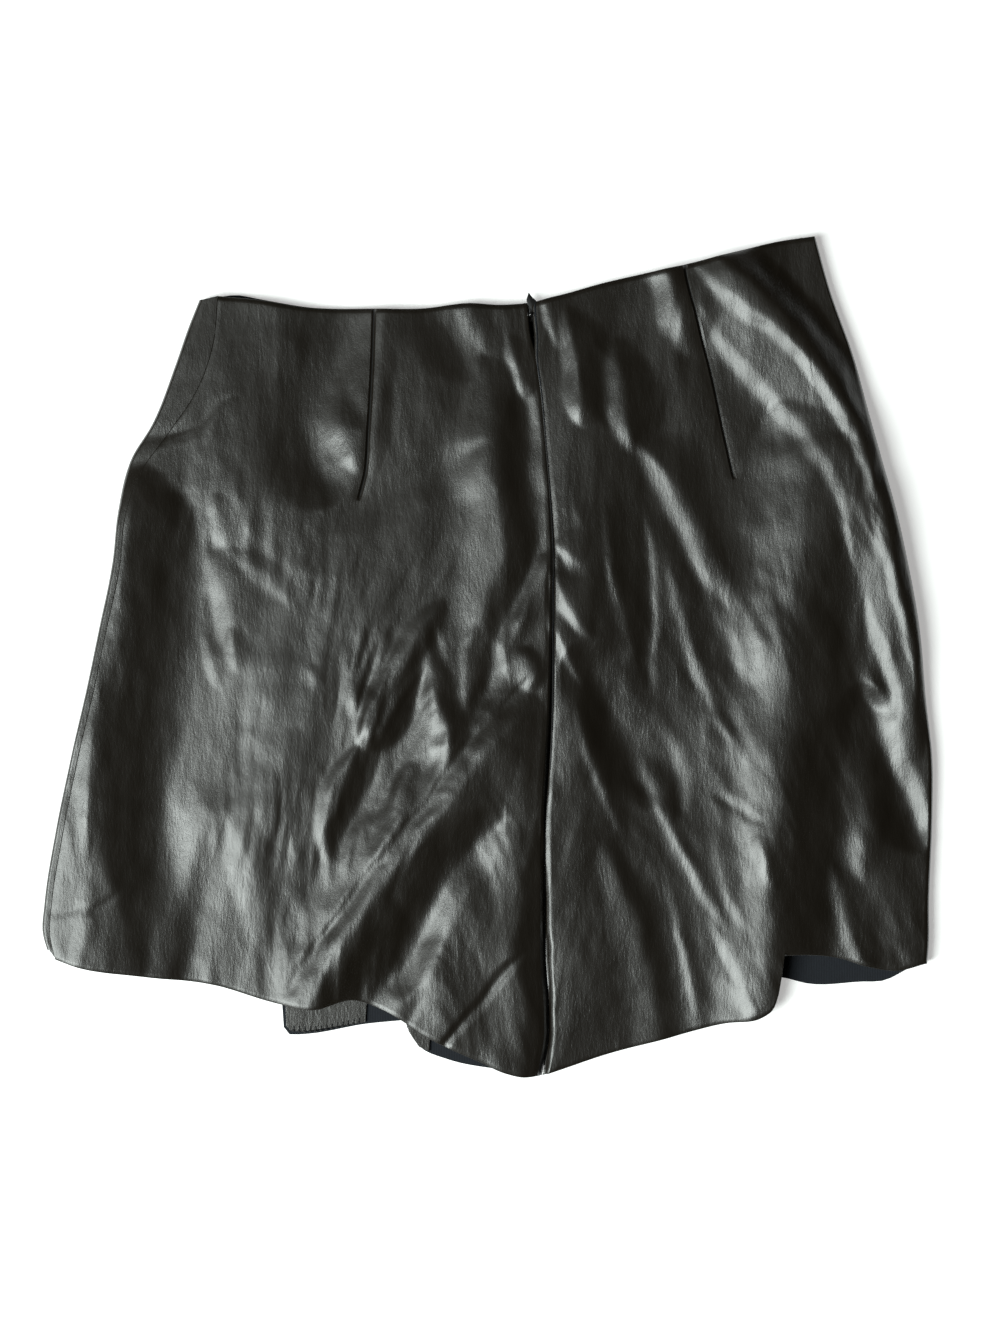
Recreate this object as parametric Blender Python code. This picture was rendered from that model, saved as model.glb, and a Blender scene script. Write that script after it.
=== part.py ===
"""Wrap skort of black faux leather, laid flat on its front with its back uppermost.

Tables hold millimetres; the meshes are in metres. +X is the right of the garment as it lies, +Y runs up to the
waist and +Z away from the surface it lies on. The origin is under the middle of the garment, on that surface.
From the surface upwards lie the wrap panel, the two shorts fronts, the zip and the two back panels.
"""
import math
from collections import namedtuple

import bmesh
import bpy
import numpy as np

MM = 0.001

# Cloth and clearances
WALL = 1.2  # faux leather on its knit backing
GAP = 0.3  # between layers and along seams
ZIP_TAPE_WALL = 0.8

# Levels of the faces that look down, layer on layer
FLOOR = 0.0
SHORTS_LEVEL = FLOOR + WALL + GAP
INNER_LEVEL = SHORTS_LEVEL + WALL + GAP
BACK_REST = 6.4  # outer face of the back panels where no fold lifts them
BACK_LOWEST = INNER_LEVEL + WALL + GAP
DOME = 2.2  # slight fullness of the seat

# Zip
ZIP_LENGTH = 175.0
ZIP_TAPE_WIDTH = 24.0
ZIP_MOUTH = 2.6  # half width of the open mouth round the slider
ZIP_MOUTH_LENGTH = 15.0
ZIP_MOUTH_TAPER = 22.0
SLIDER = {"width": 3.8, "length": 9.0, "height": 2.4, "top_y": 200.5}
PIVOT = {"x": 24.4, "y": 195.6, "z": 8.6, "bar": 1.0, "clearance": 0.35}
LUG = {"width": 0.7, "length": 2.2, "rise": 1.0, "gap": 2.6}
TAB = {"wall": 1.0, "eye": 3.0}
# The tab's edges from its eye to its tip, from the bar's axis
TAB_RIGHT_EDGE = ((0.9, 1.9), (3.8, 1.9), (4.9, 3.2), (4.1, 5.2), (3.2, 7.6), (1.2, 9.4), (-1.2, 12.6))
TAB_LEFT_EDGE = ((-1.8, 10.4), (-2.4, 8.2), (-1.6, 5.0), (-1.0, 1.9))

# Mesh spacing
ROWS = 38
LEFT_COLUMNS = 24
RIGHT_COLUMNS = 15
SIDE_COLUMNS = 7
TURN_STEPS = 5
WEST_COLUMNS = 5
EAST_COLUMNS = 9
TURN_UNDER = 6.0  # how far the right back panel goes under before its side seam
SIDE_TURN = {"least": 2.4, "most": 6.0, "share": 0.8}

# Outlines, from the waist down, and hems and waist from left to right
LEFT_OUTLINE = (
    (-165, 204), (-171, 189), (-179, 166), (-192, 133), (-204, 113), (-211, 83), (-214, 55), (-222, 15),
    (-229, -19), (-237, -54), (-246, -97), (-253, -141), (-254, -157), (-251, -168),
)
LEFT_SIDE_SEAM = (
    (-154, 206), (-157, 177), (-166, 152), (-182, 128), (-198, 105), (-206, 80), (-209, 52), (-217, 14),
    (-224, -20), (-232, -54), (-241, -98), (-248, -141), (-249, -157), (-246, -172),
)
BACK_LEFT_WAIST = ((-154, 206), (-132, 202), (-106, 199), (-67, 199), (-39, 199), (-10, 202), (7, 201), (24, 202))
BACK_LEFT_HEM = (
    (-246, -172), (-235, -176), (-198, -182), (-157, -187), (-118, -198), (-99, -201), (-77, -196), (-59, -202),
    (-33, -218), (-5, -231), (11, -238), (20, -239),
)
CENTRE_SEAM = (
    (24, 202), (24.8, 190), (27.2, 172), (30.5, 148), (32.5, 125), (35, 95), (37, 61), (37, 27), (36, -42),
    (33, -93), (33, -145), (33, -174), (28, -200), (20, -239),
)
BACK_RIGHT_WAIST = ((24, 202), (35, 205), (43, 207), (64, 213), (109, 223), (122, 226), (156, 235))
SIDE_WAIST = ((156, 235), (165, 237), (185, 241))
BACK_RIGHT_HEM = (
    (20, -239), (29, -240), (40, -236), (67, -227), (102, -218), (136, -209), (155, -206), (162, -201),
    (165, -194), (167, -184), (169, -170),
)
SIDE_HEM = ((169, -170), (183, -170), (201, -172), (214, -176), (234, -179), (250, -175))
DEEP_FOLD_LINE = (
    (156, 235), (163, 205), (173, 170), (183, 130), (187, 90), (185, 33), (182, -25), (177, -86), (172, -127),
    (169, -170),
)
RIGHT_OUTLINE = (
    (187, 240), (195, 211), (210, 168), (219, 133), (236, 70), (246, 18), (250, -22), (254, -61), (254, -90),
    (252, -143), (252, -162), (251, -175),
)

# Fronts
# The left front lies on the surface west of the wrap panel's free edge and on the panel east of it
WEST_WAIST = ((-159, 207), (-143, 207), (-132, 205), (-101, 200), (-86, 199))
WEST_HEM = ((-248, -169), (-225, -172), (-160, -181), (-133, -186))
EAST_WAIST = ((-72.5, 198.5), (-10, 199), (22, 199))
EAST_HEM = (
    (-119.5, -188), (-62, -190), (-50, -199), (-46, -215), (-39, -225), (-23, -232), (8, -238), (20, -240),
)
FRONT_SEAM = ((22, 199), (28, 160), (34, 95), (36, 27), (35, -42), (33, -145), (30, -190), (20, -240))
FRONT_RIGHT_WAIST = ((22, 199), (43, 203), (64, 209), (109, 219), (156, 231))
FRONT_RIGHT_HEM = ((20, -236), (40, -232), (67, -223), (102, -214), (136, -205), (155, -200), (164, -182), (168, -166))
FRONT_RIGHT_SIDE_HEM = ((168, -166), (201, -168), (234, -174))
WRAP_FREE_EDGE = ((-71, 198), (-118, -198))
WRAP_HEM = (
    (-117, -212), (-114, -216), (-106, -216), (-69, -210), (-48, -208), (60, -198), (171, -184), (183, -187),
    (213, -186), (228, -185), (236, -181), (243, -177), (247, -176),
)
WRAP_WAIST = ((22, 199), (-71, 198))
WRAP_FACING = ((-116, -193), (-115.5, -211), (-113, -214), (-106, -214.6), (-70, -209), (-69, -193))
LEG_TURN_UP = ((-47, -203), (-45.5, -214), (-39.5, -223), (-33.5, -225.5), (-32.5, -208))

# Large folds of the back. The path runs from the waist end to the hem end; west and east are the widths of the
# two flanks; crown is half the width of the flat top; start and end are the shares of the path over which it fades.
Fold = namedtuple("Fold", "name path rise west east crown start end")
FOLDS = (
    Fold("outer roll", ((129, 214), (160, 188), (193, 154), (217, 95), (230, 38), (241, -22), (246, -94), (246, -176)),
         5.0, 12, 26, 0, 0.12, 0.0),
    Fold("inner roll", ((119, 210), (133, 176), (160, 149), (193, 114), (206, 77), (214, 40), (225, -5), (233, -40)),
         5.0, 14, 60, 0, 0.12, 0.3),
    Fold("deep fold", ((176, 125), (180, 70), (177, 20), (173, -25), (168, -86), (163, -127), (159, -165), (154, -208)),
         7.5, 75, 12, 0, 0.35, 0.0),
    Fold("side band", ((214, -10), (210, -60), (206, -100), (204, -140), (205, -180)), 4.0, 14, 20, 0, 0.3, 0.0),
    Fold("right leg lip", ((35, -140), (38, -187), (41, -205), (41, -222), (38, -240)), 4.5, 9, 20, 0, 0.5, 0.0),
    Fold("left roll", ((-203, 95), (-210, 50), (-217, 10), (-224, -42), (-228, -93), (-230, -130), (-232, -178)),
         6.0, 16, 46, 0, 0.3, 0.0),
    Fold("left leg swell", ((-158, 60), (-160, 0), (-166, -59), (-176, -100), (-184, -145), (-186, -184)),
         3.0, 16, 48, 0, 0.3, 0.0),
    Fold("big diagonal", ((16, -25), (-4, -55), (-28, -84), (-54, -119), (-80, -156), (-101, -196)),
         8.0, 12, 40, 0, 0.25, 0.05),
    Fold("upper left bend", ((-104, 172), (-125, 157), (-150, 143), (-172, 130), (-196, 114)), 3.0, 12, 32, 0, 0.2, 0.1),
    Fold("seat ridge", ((34, 60), (24, 41), (14, 22), (8, -4)), 2.5, 12, 16, 0, 0.3, 0.4),
    Fold("left seat ridge", ((-28, 28), (-48, 6), (-62, -18), (-70, -48)), 3.0, 12, 14, 0, 0.3, 0.4),
    Fold("lower seat ridge", ((-35, 3), (-42, -25), (-60, -62), (-86, -116)), 3.0, 13, 16, 0, 0.3, 0.3),
    Fold("left hip ridge", ((-148, 58), (-130, 45), (-104, 20)), 3.0, 14, 14, 0, 0.35, 0.35),
    Fold("right hip ridge", ((89, 130), (102, 100), (116, 74), (136, 32), (156, -8)), 2.5, 13, 16, 0, 0.2, 0.3),
    Fold("right leg ridge", ((60, -8), (72, -34), (88, -67), (106, -118), (130, -150)), 2.5, 13, 16, 0, 0.2, 0.2),
)


def smooth(value):
    """Ease from 0 to 1."""
    t = np.clip(value, 0.0, 1.0)
    return t * t * (3.0 - 2.0 * t)


def curve(points, count):
    """Evenly spaced points on a smooth curve through a short row of points."""
    knots = np.array(points, float)
    chord = np.concatenate(([0.0], np.cumsum(np.linalg.norm(np.diff(knots, axis=0), axis=1))))
    if len(knots) == 2:
        dense = knots
    else:
        slopes = np.gradient(knots, chord, axis=0)
        at = np.linspace(0.0, chord[-1], 16 * len(knots))
        k = np.clip(np.searchsorted(chord, at, side="right") - 1, 0, len(knots) - 2)
        span = (chord[k + 1] - chord[k])[:, None]
        t = (at - chord[k])[:, None] / span
        dense = (
            (2 * t**3 - 3 * t**2 + 1) * knots[k]
            + (t**3 - 2 * t**2 + t) * span * slopes[k]
            + (3 * t**2 - 2 * t**3) * knots[k + 1]
            + (t**3 - t**2) * span * slopes[k + 1]
        )
    length = np.concatenate(([0.0], np.cumsum(np.linalg.norm(np.diff(dense, axis=0), axis=1))))
    even = np.linspace(0.0, length[-1], count)
    return np.stack([np.interp(even, length, dense[:, axis]) for axis in range(2)], axis=1)


def shifted(line, distance):
    """Move a line that runs down the garment sideways; positive is east."""
    along = np.gradient(line, axis=0)
    along /= np.linalg.norm(along, axis=1)[:, None]
    amount = np.broadcast_to(distance, len(line))[:, None]
    return line + amount * np.stack([-along[:, 1], along[:, 0]], axis=1)


def patch(top, bottom, left, right):
    """Rows and columns of plan points between four edges that meet at their corners."""
    u = np.linspace(0.0, 1.0, len(top))[None, :, None]
    v = np.linspace(0.0, 1.0, len(left))[:, None, None]
    between_sides = (1 - u) * left[:, None] + u * right[:, None]
    between_ends = (1 - v) * top[None] + v * bottom[None]
    corners = (1 - v) * ((1 - u) * top[0] + u * top[-1]) + v * ((1 - u) * bottom[0] + u * bottom[-1])
    return between_sides + between_ends - corners


def fold_lift(fold, plan):
    """Height that one fold adds at each plan point."""
    path = curve(fold.path, 64)
    steps = len(path) - 1
    step_length = np.linalg.norm(path[1] - path[0])
    along = np.gradient(path, axis=0)
    along /= np.linalg.norm(along, axis=1)[:, None]
    offset = plan[..., None, :] - path
    nearest = np.argmin((offset**2).sum(-1), axis=-1)
    away = np.take_along_axis(offset, nearest[..., None, None], axis=-2)[..., 0, :]
    direction = along[nearest]
    east = direction[..., 0] * away[..., 1] - direction[..., 1] * away[..., 0]
    forward = (direction * away).sum(-1)
    share = np.clip((nearest + forward / step_length) / steps, 0.0, 1.0)
    past_end = ((nearest == 0) & (forward < 0)) | ((nearest == steps) & (forward > 0))
    distance = np.where(past_end, np.hypot(east, forward), np.abs(east))
    width = np.where(east > 0, fold.east, fold.west)
    reach = np.clip((distance - fold.crown) / width, 0.0, 1.0)
    fade_in = smooth(share / fold.start) if fold.start else 1.0
    fade_out = smooth((1.0 - share) / fold.end) if fold.end else 1.0
    return fold.rise * fade_in * fade_out * (1.0 - smooth(reach))


def back_height(plan):
    """Height of the outer face of the back panels over each plan point."""
    x, y = plan[..., 0], plan[..., 1]
    height = BACK_REST + DOME * np.clip(1.0 - (x / 200.0) ** 2, 0.0, 1.0) * np.clip(1.0 - (y / 190.0) ** 2, 0.0, 1.0)
    for fold in FOLDS:
        height = height + fold_lift(fold, plan)
    return np.maximum(height, BACK_LOWEST)


def with_height(plan, height):
    return np.concatenate([plan, np.broadcast_to(height, plan.shape[:-1])[..., None]], axis=-1)


def mouth(line):
    """Half the gap between the two back panels along the centre seam."""
    length = np.concatenate(([0.0], np.cumsum(np.linalg.norm(np.diff(line, axis=0), axis=1))))
    open_share = 1.0 - smooth((length - ZIP_MOUTH_LENGTH) / ZIP_MOUTH_TAPER)
    return GAP / 2 + (ZIP_MOUTH - GAP / 2) * open_share


def material(name, colour, roughness, metallic=0.0):
    made = bpy.data.materials.new(name)
    made.use_nodes = True
    shader = made.node_tree.nodes["Principled BSDF"]
    shader.inputs["Base Color"].default_value = (*colour, 1.0)
    shader.inputs["Roughness"].default_value = roughness
    shader.inputs["Metallic"].default_value = metallic
    return made


def add_object(name, mesh, finish):
    made = bpy.data.objects.new(name, mesh)
    made.data.materials.append(finish)
    bpy.context.scene.collection.objects.link(made)
    return made


def sheet(name, grid, finish, wall=WALL):
    """A cloth panel from rows of points on its outer face, given thickness away from that face."""
    rows, columns = grid.shape[:2]
    bm = bmesh.new()
    verts = [bm.verts.new(point) for point in (grid * MM).reshape(-1, 3)]
    for row in range(rows - 1):
        for column in range(columns - 1):
            at = row * columns + column
            bm.faces.new([verts[k] for k in (at, at + columns, at + columns + 1, at + 1)])
    mesh = bpy.data.meshes.new(name)
    bm.to_mesh(mesh)
    bm.free()
    mesh.shade_smooth()
    made = add_object(name, mesh, finish)
    solidify = made.modifiers.new("Wall", "SOLIDIFY")
    solidify.thickness = wall * MM
    solidify.offset = -1.0
    solidify.use_even_offset = True
    return made


def plate(name, outline, level, finish, wall=WALL):
    """A flat piece cut to an outline, with its lower face on a level."""
    bm = bmesh.new()
    face = bm.faces.new([bm.verts.new((x * MM, y * MM, level * MM)) for x, y in outline])
    bmesh.ops.recalc_face_normals(bm, faces=[face])
    raised = bmesh.ops.extrude_face_region(bm, geom=[face])
    top = [item for item in raised["geom"] if isinstance(item, bmesh.types.BMVert)]
    bmesh.ops.translate(bm, verts=top, vec=(0.0, 0.0, wall * MM))
    bmesh.ops.recalc_face_normals(bm, faces=bm.faces[:])
    mesh = bpy.data.meshes.new(name)
    bm.to_mesh(mesh)
    bm.free()
    return add_object(name, mesh, finish)


def side_turn(edge, height, lower, east):
    """Columns of points round the side of the garment, from the top of the turn to its foot."""
    half_height = (height - lower) / 2
    reach = np.clip(SIDE_TURN["share"] * half_height, SIDE_TURN["least"], SIDE_TURN["most"])
    sign = 1.0 if east else -1.0
    columns = []
    for step in range(TURN_STEPS + 1):
        angle = math.pi * (0.5 - step / TURN_STEPS)
        x = edge[:, 0] + sign * reach * (math.cos(angle) - 1.0)
        z = (height + lower) / 2 + half_height * math.sin(angle)
        columns.append(np.stack([x, edge[:, 1], z], axis=1))
    return np.stack(columns, axis=1), reach


def back_left(finish):
    seam = curve(CENTRE_SEAM, ROWS)
    right = shifted(seam, -mouth(seam))
    left = curve(LEFT_SIDE_SEAM, ROWS)
    top = curve(BACK_LEFT_WAIST, LEFT_COLUMNS)
    bottom = curve(BACK_LEFT_HEM, LEFT_COLUMNS)
    top[-1], bottom[-1] = right[0], right[-1]
    plan = patch(top, bottom, left, right)
    return sheet("back_left", with_height(plan, back_height(plan)), finish)


def right_side():
    """Top of the turn at the right side, its height, and the turn itself."""
    edge = curve(RIGHT_OUTLINE, ROWS)
    inset = edge - np.array([SIDE_TURN["most"], 0.0])
    height = back_height(inset)
    turn, reach = side_turn(edge, height, SHORTS_LEVEL, east=True)
    return turn, edge[:, 0] - reach


def back_right(finish):
    seam = curve(CENTRE_SEAM, ROWS)
    left = shifted(seam, mouth(seam))
    fold_line = curve(DEEP_FOLD_LINE, ROWS)
    turn, _ = right_side()
    shoulder = turn[:, 0, :2]
    top = curve(BACK_RIGHT_WAIST, RIGHT_COLUMNS)
    bottom = curve(BACK_RIGHT_HEM, RIGHT_COLUMNS)
    top[0], bottom[0] = left[0], left[-1]
    main = patch(top, bottom, left, fold_line)
    side_top = curve(SIDE_WAIST[:-1] + (tuple(shoulder[0]),), SIDE_COLUMNS)
    side_bottom = curve(SIDE_HEM[:-1] + (tuple(shoulder[-1]),), SIDE_COLUMNS)
    side = patch(side_top, side_bottom, fold_line, shoulder)
    plan = np.concatenate([main, side[:, 1:-1]], axis=1)
    under = turn[:, -1:].copy()
    under[..., 0] -= TURN_UNDER
    grid = np.concatenate([with_height(plan, back_height(plan)), turn, under], axis=1)
    return sheet("back_right", grid, finish)


def front_left(finish):
    """The left shorts front, which turns up round the left side and meets the back at the side seam."""
    edge = curve(LEFT_OUTLINE, ROWS)
    seam = shifted(curve(LEFT_SIDE_SEAM, ROWS), -GAP)
    height = back_height(seam)
    reach = np.clip(0.7 * (seam[:, 0] - edge[:, 0]), SIDE_TURN["least"], SIDE_TURN["most"])
    turn = []
    for step in range(TURN_STEPS + 1):
        angle = math.pi * (0.5 - step / TURN_STEPS)
        x = edge[:, 0] + reach * (1.0 - math.cos(angle))
        turn.append(np.stack([x, edge[:, 1], height / 2 + height / 2 * math.sin(angle)], axis=1))
    turn = np.stack(turn, axis=1)
    foot = turn[:, -1, :2]
    centre = shifted(curve(FRONT_SEAM, ROWS), -GAP / 2)
    low = curve((WEST_WAIST[-1], WEST_HEM[-1]), ROWS)
    high = curve((EAST_WAIST[0], EAST_HEM[0]), ROWS)
    west_top = curve((tuple(foot[0]),) + WEST_WAIST[1:], WEST_COLUMNS)
    west_bottom = curve((tuple(foot[-1]),) + WEST_HEM[1:], WEST_COLUMNS)
    east_top = curve(EAST_WAIST, EAST_COLUMNS)
    east_bottom = curve(EAST_HEM, EAST_COLUMNS)
    east_top[-1], east_bottom[-1] = centre[0], centre[-1]
    west = with_height(patch(west_top, west_bottom, foot, low), FLOOR)
    east = with_height(patch(east_top, east_bottom, high, centre), SHORTS_LEVEL)
    grid = np.concatenate([with_height(seam[:, None], height[:, None]), turn, west[:, 1:], east], axis=1)
    return sheet("front_left", grid[:, ::-1], finish)


def front_right(finish):
    _, shoulder_x = right_side()
    edge = curve(RIGHT_OUTLINE, ROWS)
    side = np.stack([shoulder_x - TURN_UNDER - GAP, edge[:, 1]], axis=1)[1:-1]
    seam = shifted(curve(FRONT_SEAM, 20), GAP / 2)
    hem = list(curve(FRONT_RIGHT_HEM, 16))[1:] + list(curve(FRONT_RIGHT_SIDE_HEM, 5))[1:]
    waist = list(curve(FRONT_RIGHT_WAIST, 10))[1:]
    outline = waist + list(side) + hem[::-1] + list(seam[::-1])
    return plate("front_right", outline, SHORTS_LEVEL, finish)


def wrap_panel(finish):
    _, shoulder_x = right_side()
    edge = curve(RIGHT_OUTLINE, ROWS)
    side = np.stack([shoulder_x, edge[:, 1]], axis=1)[1:-1]
    waist = list(WRAP_WAIST[::-1]) + list(curve(FRONT_RIGHT_WAIST, 10))[1:]
    hem = list(curve(WRAP_HEM, 44))
    outline = waist + list(side) + hem[::-1] + [WRAP_FREE_EDGE[-1]]
    return plate("wrap_panel", outline, FLOOR, finish)


def zip_tape(finish):
    seam = curve(CENTRE_SEAM, 200)
    length = np.concatenate(([0.0], np.cumsum(np.linalg.norm(np.diff(seam, axis=0), axis=1))))
    line = curve(seam[(length > 2.0) & (length < ZIP_LENGTH)], 12)
    edges = [shifted(line, offset) for offset in (-ZIP_TAPE_WIDTH / 2, ZIP_TAPE_WIDTH / 2)]
    outline = list(edges[0]) + list(edges[1][::-1])
    return plate("zip_tape", outline, INNER_LEVEL, finish, wall=ZIP_TAPE_WALL)


def box(bm, centre, size):
    """A block at a place, in millimetres."""
    made = bmesh.ops.create_cube(bm, size=1.0)
    bmesh.ops.scale(bm, verts=made["verts"], vec=[side * MM for side in size])
    bmesh.ops.translate(bm, verts=made["verts"], vec=[place * MM for place in centre])


def rod(bm, centre, radius, length, sides=16):
    """A round bar along X at a place, in millimetres."""
    made = bmesh.ops.create_cone(
        bm, cap_ends=True, segments=sides, radius1=radius * MM, radius2=radius * MM, depth=length * MM
    )
    turned = [(vert, vert.co.z, vert.co.x) for vert in made["verts"]]
    for vert, x, z in turned:
        vert.co.x, vert.co.z = x, z
    bmesh.ops.reverse_faces(bm, faces=list({face for vert in made["verts"] for face in vert.link_faces}))
    bmesh.ops.translate(bm, verts=made["verts"], vec=[place * MM for place in centre])


def cutting_object(name, build_shape):
    bm = bmesh.new()
    build_shape(bm)
    mesh = bpy.data.meshes.new(name)
    bm.to_mesh(mesh)
    bm.free()
    made = bpy.data.objects.new(name, mesh)
    bpy.context.scene.collection.objects.link(made)
    made.hide_render = True
    made.display_type = "WIRE"
    return made


def combine(target, other, operation):
    step = target.modifiers.new(other.name, "BOOLEAN")
    step.operation = operation
    step.object = other


def zip_slider(finish):
    """Slider body on the tape, two lugs and the bar that the pull tab turns on."""
    bottom = INNER_LEVEL + ZIP_TAPE_WALL + GAP
    middle_y = SLIDER["top_y"] - SLIDER["length"] / 2
    top = bottom + SLIDER["height"]
    lug_height = PIVOT["z"] + LUG["rise"] - top + 0.4
    mesh = bpy.data.meshes.new("zip_slider")
    bm = bmesh.new()
    box(bm, (PIVOT["x"], middle_y, bottom + SLIDER["height"] / 2), (SLIDER["width"], SLIDER["length"], SLIDER["height"]))
    bmesh.ops.bevel(bm, geom=bm.edges[:], offset=0.5 * MM, segments=2, affect="EDGES", profile=0.5)
    bm.to_mesh(mesh)
    bm.free()
    made = add_object("zip_slider", mesh, finish)
    for side in (-1, 1):
        x = PIVOT["x"] + side * (LUG["gap"] + LUG["width"]) / 2
        place = (x, PIVOT["y"], top - 0.4 + lug_height / 2)
        size = (LUG["width"], LUG["length"], lug_height)
        lug = cutting_object(f"lug {side}", lambda shape, place=place, size=size: box(shape, place, size))
        combine(made, lug, "UNION")
    reach = LUG["gap"] + LUG["width"]
    pin = cutting_object(
        "bar", lambda shape: rod(shape, (PIVOT["x"], PIVOT["y"], PIVOT["z"]), PIVOT["bar"] / 2, reach)
    )
    combine(made, pin, "UNION")
    return made


def zip_pull_tab(finish):
    """Leaf-shaped tab with an eye round the slider's bar. Its origin is on the bar's axis."""
    eye = TAB["eye"] / 2
    shank = ((-0.9, 0.0), (0.9, 0.0))
    outline = list(shank) + list(curve(TAB_RIGHT_EDGE, 14)) + list(curve(TAB_LEFT_EDGE, 8))
    bm = bmesh.new()
    face = bm.faces.new([bm.verts.new((x * MM, y * MM, -TAB["wall"] / 2 * MM)) for x, y in outline])
    raised = bmesh.ops.extrude_face_region(bm, geom=[face])
    top = [item for item in raised["geom"] if isinstance(item, bmesh.types.BMVert)]
    bmesh.ops.translate(bm, verts=top, vec=(0.0, 0.0, TAB["wall"] * MM))
    bmesh.ops.recalc_face_normals(bm, faces=bm.faces[:])
    mesh = bpy.data.meshes.new("zip_pull_tab")
    bm.to_mesh(mesh)
    bm.free()
    made = add_object("zip_pull_tab", mesh, finish)
    made.location = (PIVOT["x"] * MM, PIVOT["y"] * MM, PIVOT["z"] * MM)
    place = (PIVOT["x"], PIVOT["y"], PIVOT["z"])
    barrel = cutting_object("eye", lambda shape: rod(shape, place, eye, LUG["gap"] - 2 * GAP))
    hole = cutting_object(
        "eye hole", lambda shape: rod(shape, place, PIVOT["bar"] / 2 + PIVOT["clearance"], LUG["gap"] + 1.0)
    )
    combine(made, barrel, "UNION")
    combine(made, hole, "DIFFERENCE")
    return made


def build():
    for old in list(bpy.data.objects):
        bpy.data.objects.remove(old, do_unlink=True)
    leather = {
        side: material(f"black faux leather {side}", (0.022, 0.021, 0.018), 0.34)
        for side in ("back left", "back right", "front left", "front right", "wrap", "facing", "turn-up")
    }
    back_left(leather["back left"])
    back_right(leather["back right"])
    front_left(leather["front left"])
    front_right(leather["front right"])
    wrap_panel(leather["wrap"])
    plate("wrap_facing", WRAP_FACING, SHORTS_LEVEL, leather["facing"])
    plate("leg_turn_up", LEG_TURN_UP, INNER_LEVEL, leather["turn-up"])
    zip_tape(material("black zip tape", (0.012, 0.012, 0.014), 0.85))
    zip_slider(material("black enamelled slider", (0.015, 0.015, 0.016), 0.35, 0.6))
    zip_pull_tab(material("black enamelled pull tab", (0.015, 0.015, 0.016), 0.3, 0.6))


build()
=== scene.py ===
"""Looks of a wrap skort of black faux leather, laid flat on its front with its back uppermost.

Tables hold millimetres and the meshes are in metres. +X is the right of the garment as it lies, +Y runs up
to the waist and +Z away from the surface it lies on.
"""
import math
from collections import namedtuple

import bmesh
import bpy
import numpy as np
from mathutils import Matrix, Vector


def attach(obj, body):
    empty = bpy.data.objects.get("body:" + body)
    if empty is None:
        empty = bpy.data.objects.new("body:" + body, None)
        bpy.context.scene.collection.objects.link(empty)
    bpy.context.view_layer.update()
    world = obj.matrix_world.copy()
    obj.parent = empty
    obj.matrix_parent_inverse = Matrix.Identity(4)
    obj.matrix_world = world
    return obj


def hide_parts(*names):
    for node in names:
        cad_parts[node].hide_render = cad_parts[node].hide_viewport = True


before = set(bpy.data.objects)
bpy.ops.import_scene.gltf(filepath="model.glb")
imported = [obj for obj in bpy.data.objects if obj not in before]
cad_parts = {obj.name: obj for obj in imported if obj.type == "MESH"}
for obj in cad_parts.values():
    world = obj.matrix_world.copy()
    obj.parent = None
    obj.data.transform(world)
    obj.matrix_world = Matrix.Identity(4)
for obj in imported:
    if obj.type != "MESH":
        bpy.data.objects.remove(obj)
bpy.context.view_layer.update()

MM = 0.001

# Cloth and clearances
WALL = 1.2
GAP = 0.3
ZIP_TAPE_WALL = 0.8
SEWN_GAP = 0.06
SIDE_STEP = 0.3
WAIST_RISE = {"height": 3.0, "from_y": 186.0, "over": 14.0, "from_side": 9.0}
BACK_CLEARANCE = 0.6

# Levels of the faces that look down, layer on layer
FLOOR = 0.0
SHORTS_LEVEL = FLOOR + WALL + GAP
INNER_LEVEL = SHORTS_LEVEL + WALL + GAP
BACK_REST = 9.4
BACK_LOWEST = INNER_LEVEL + WALL + GAP
DOME = 2.2

# Fine creases fan out to both sides of a line, below a height; the cloth is calmer near the waist, in the two
# bands that run down beside the rolls and in a spot beside the hem
FAN_CENTRE = 34.0
FAN_TOP = 90.0
CALM_ABOVE = 60.0
DARK_BANDS = {"middles": (-190.0, 190.0), "width": 22.0, "calm": 0.7}
CALM_SPOT = {"x": -8.0, "y": -205.0, "half_width": 42.0, "half_length": 40.0, "calm": 0.75}

# Folds wander sideways in waves of this width and length; narrow folds are uneven in width, wide ones less so
Wander = namedtuple("Wander", "width length amount first_seed")
WANDERS = (Wander(32.0, 38.0, 3.2, 1), Wander(9.0, 13.0, 1.1, 3))
UNEVEN = {"share": 0.45, "even_from": 22.0, "wave": 24.0}

# Edges and seams of the back panels; a roll is the drop at the edge and the width over which it rises
SEAM_GROOVE = {"reach": 4.0, "share": 0.5}
SEAM_FADE = 60.0
DART_DIP = {"depth": 0.5, "reach": 6.0}
WAIST_ROLL = (1.0, 2.5)
HEM_ROLL = (0.5, 1.6)
LEFT_SEAM_ROLL = (2.0, 3.0)
LEFT_SIDE_ROLL = (0.3, 1.4)

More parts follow.
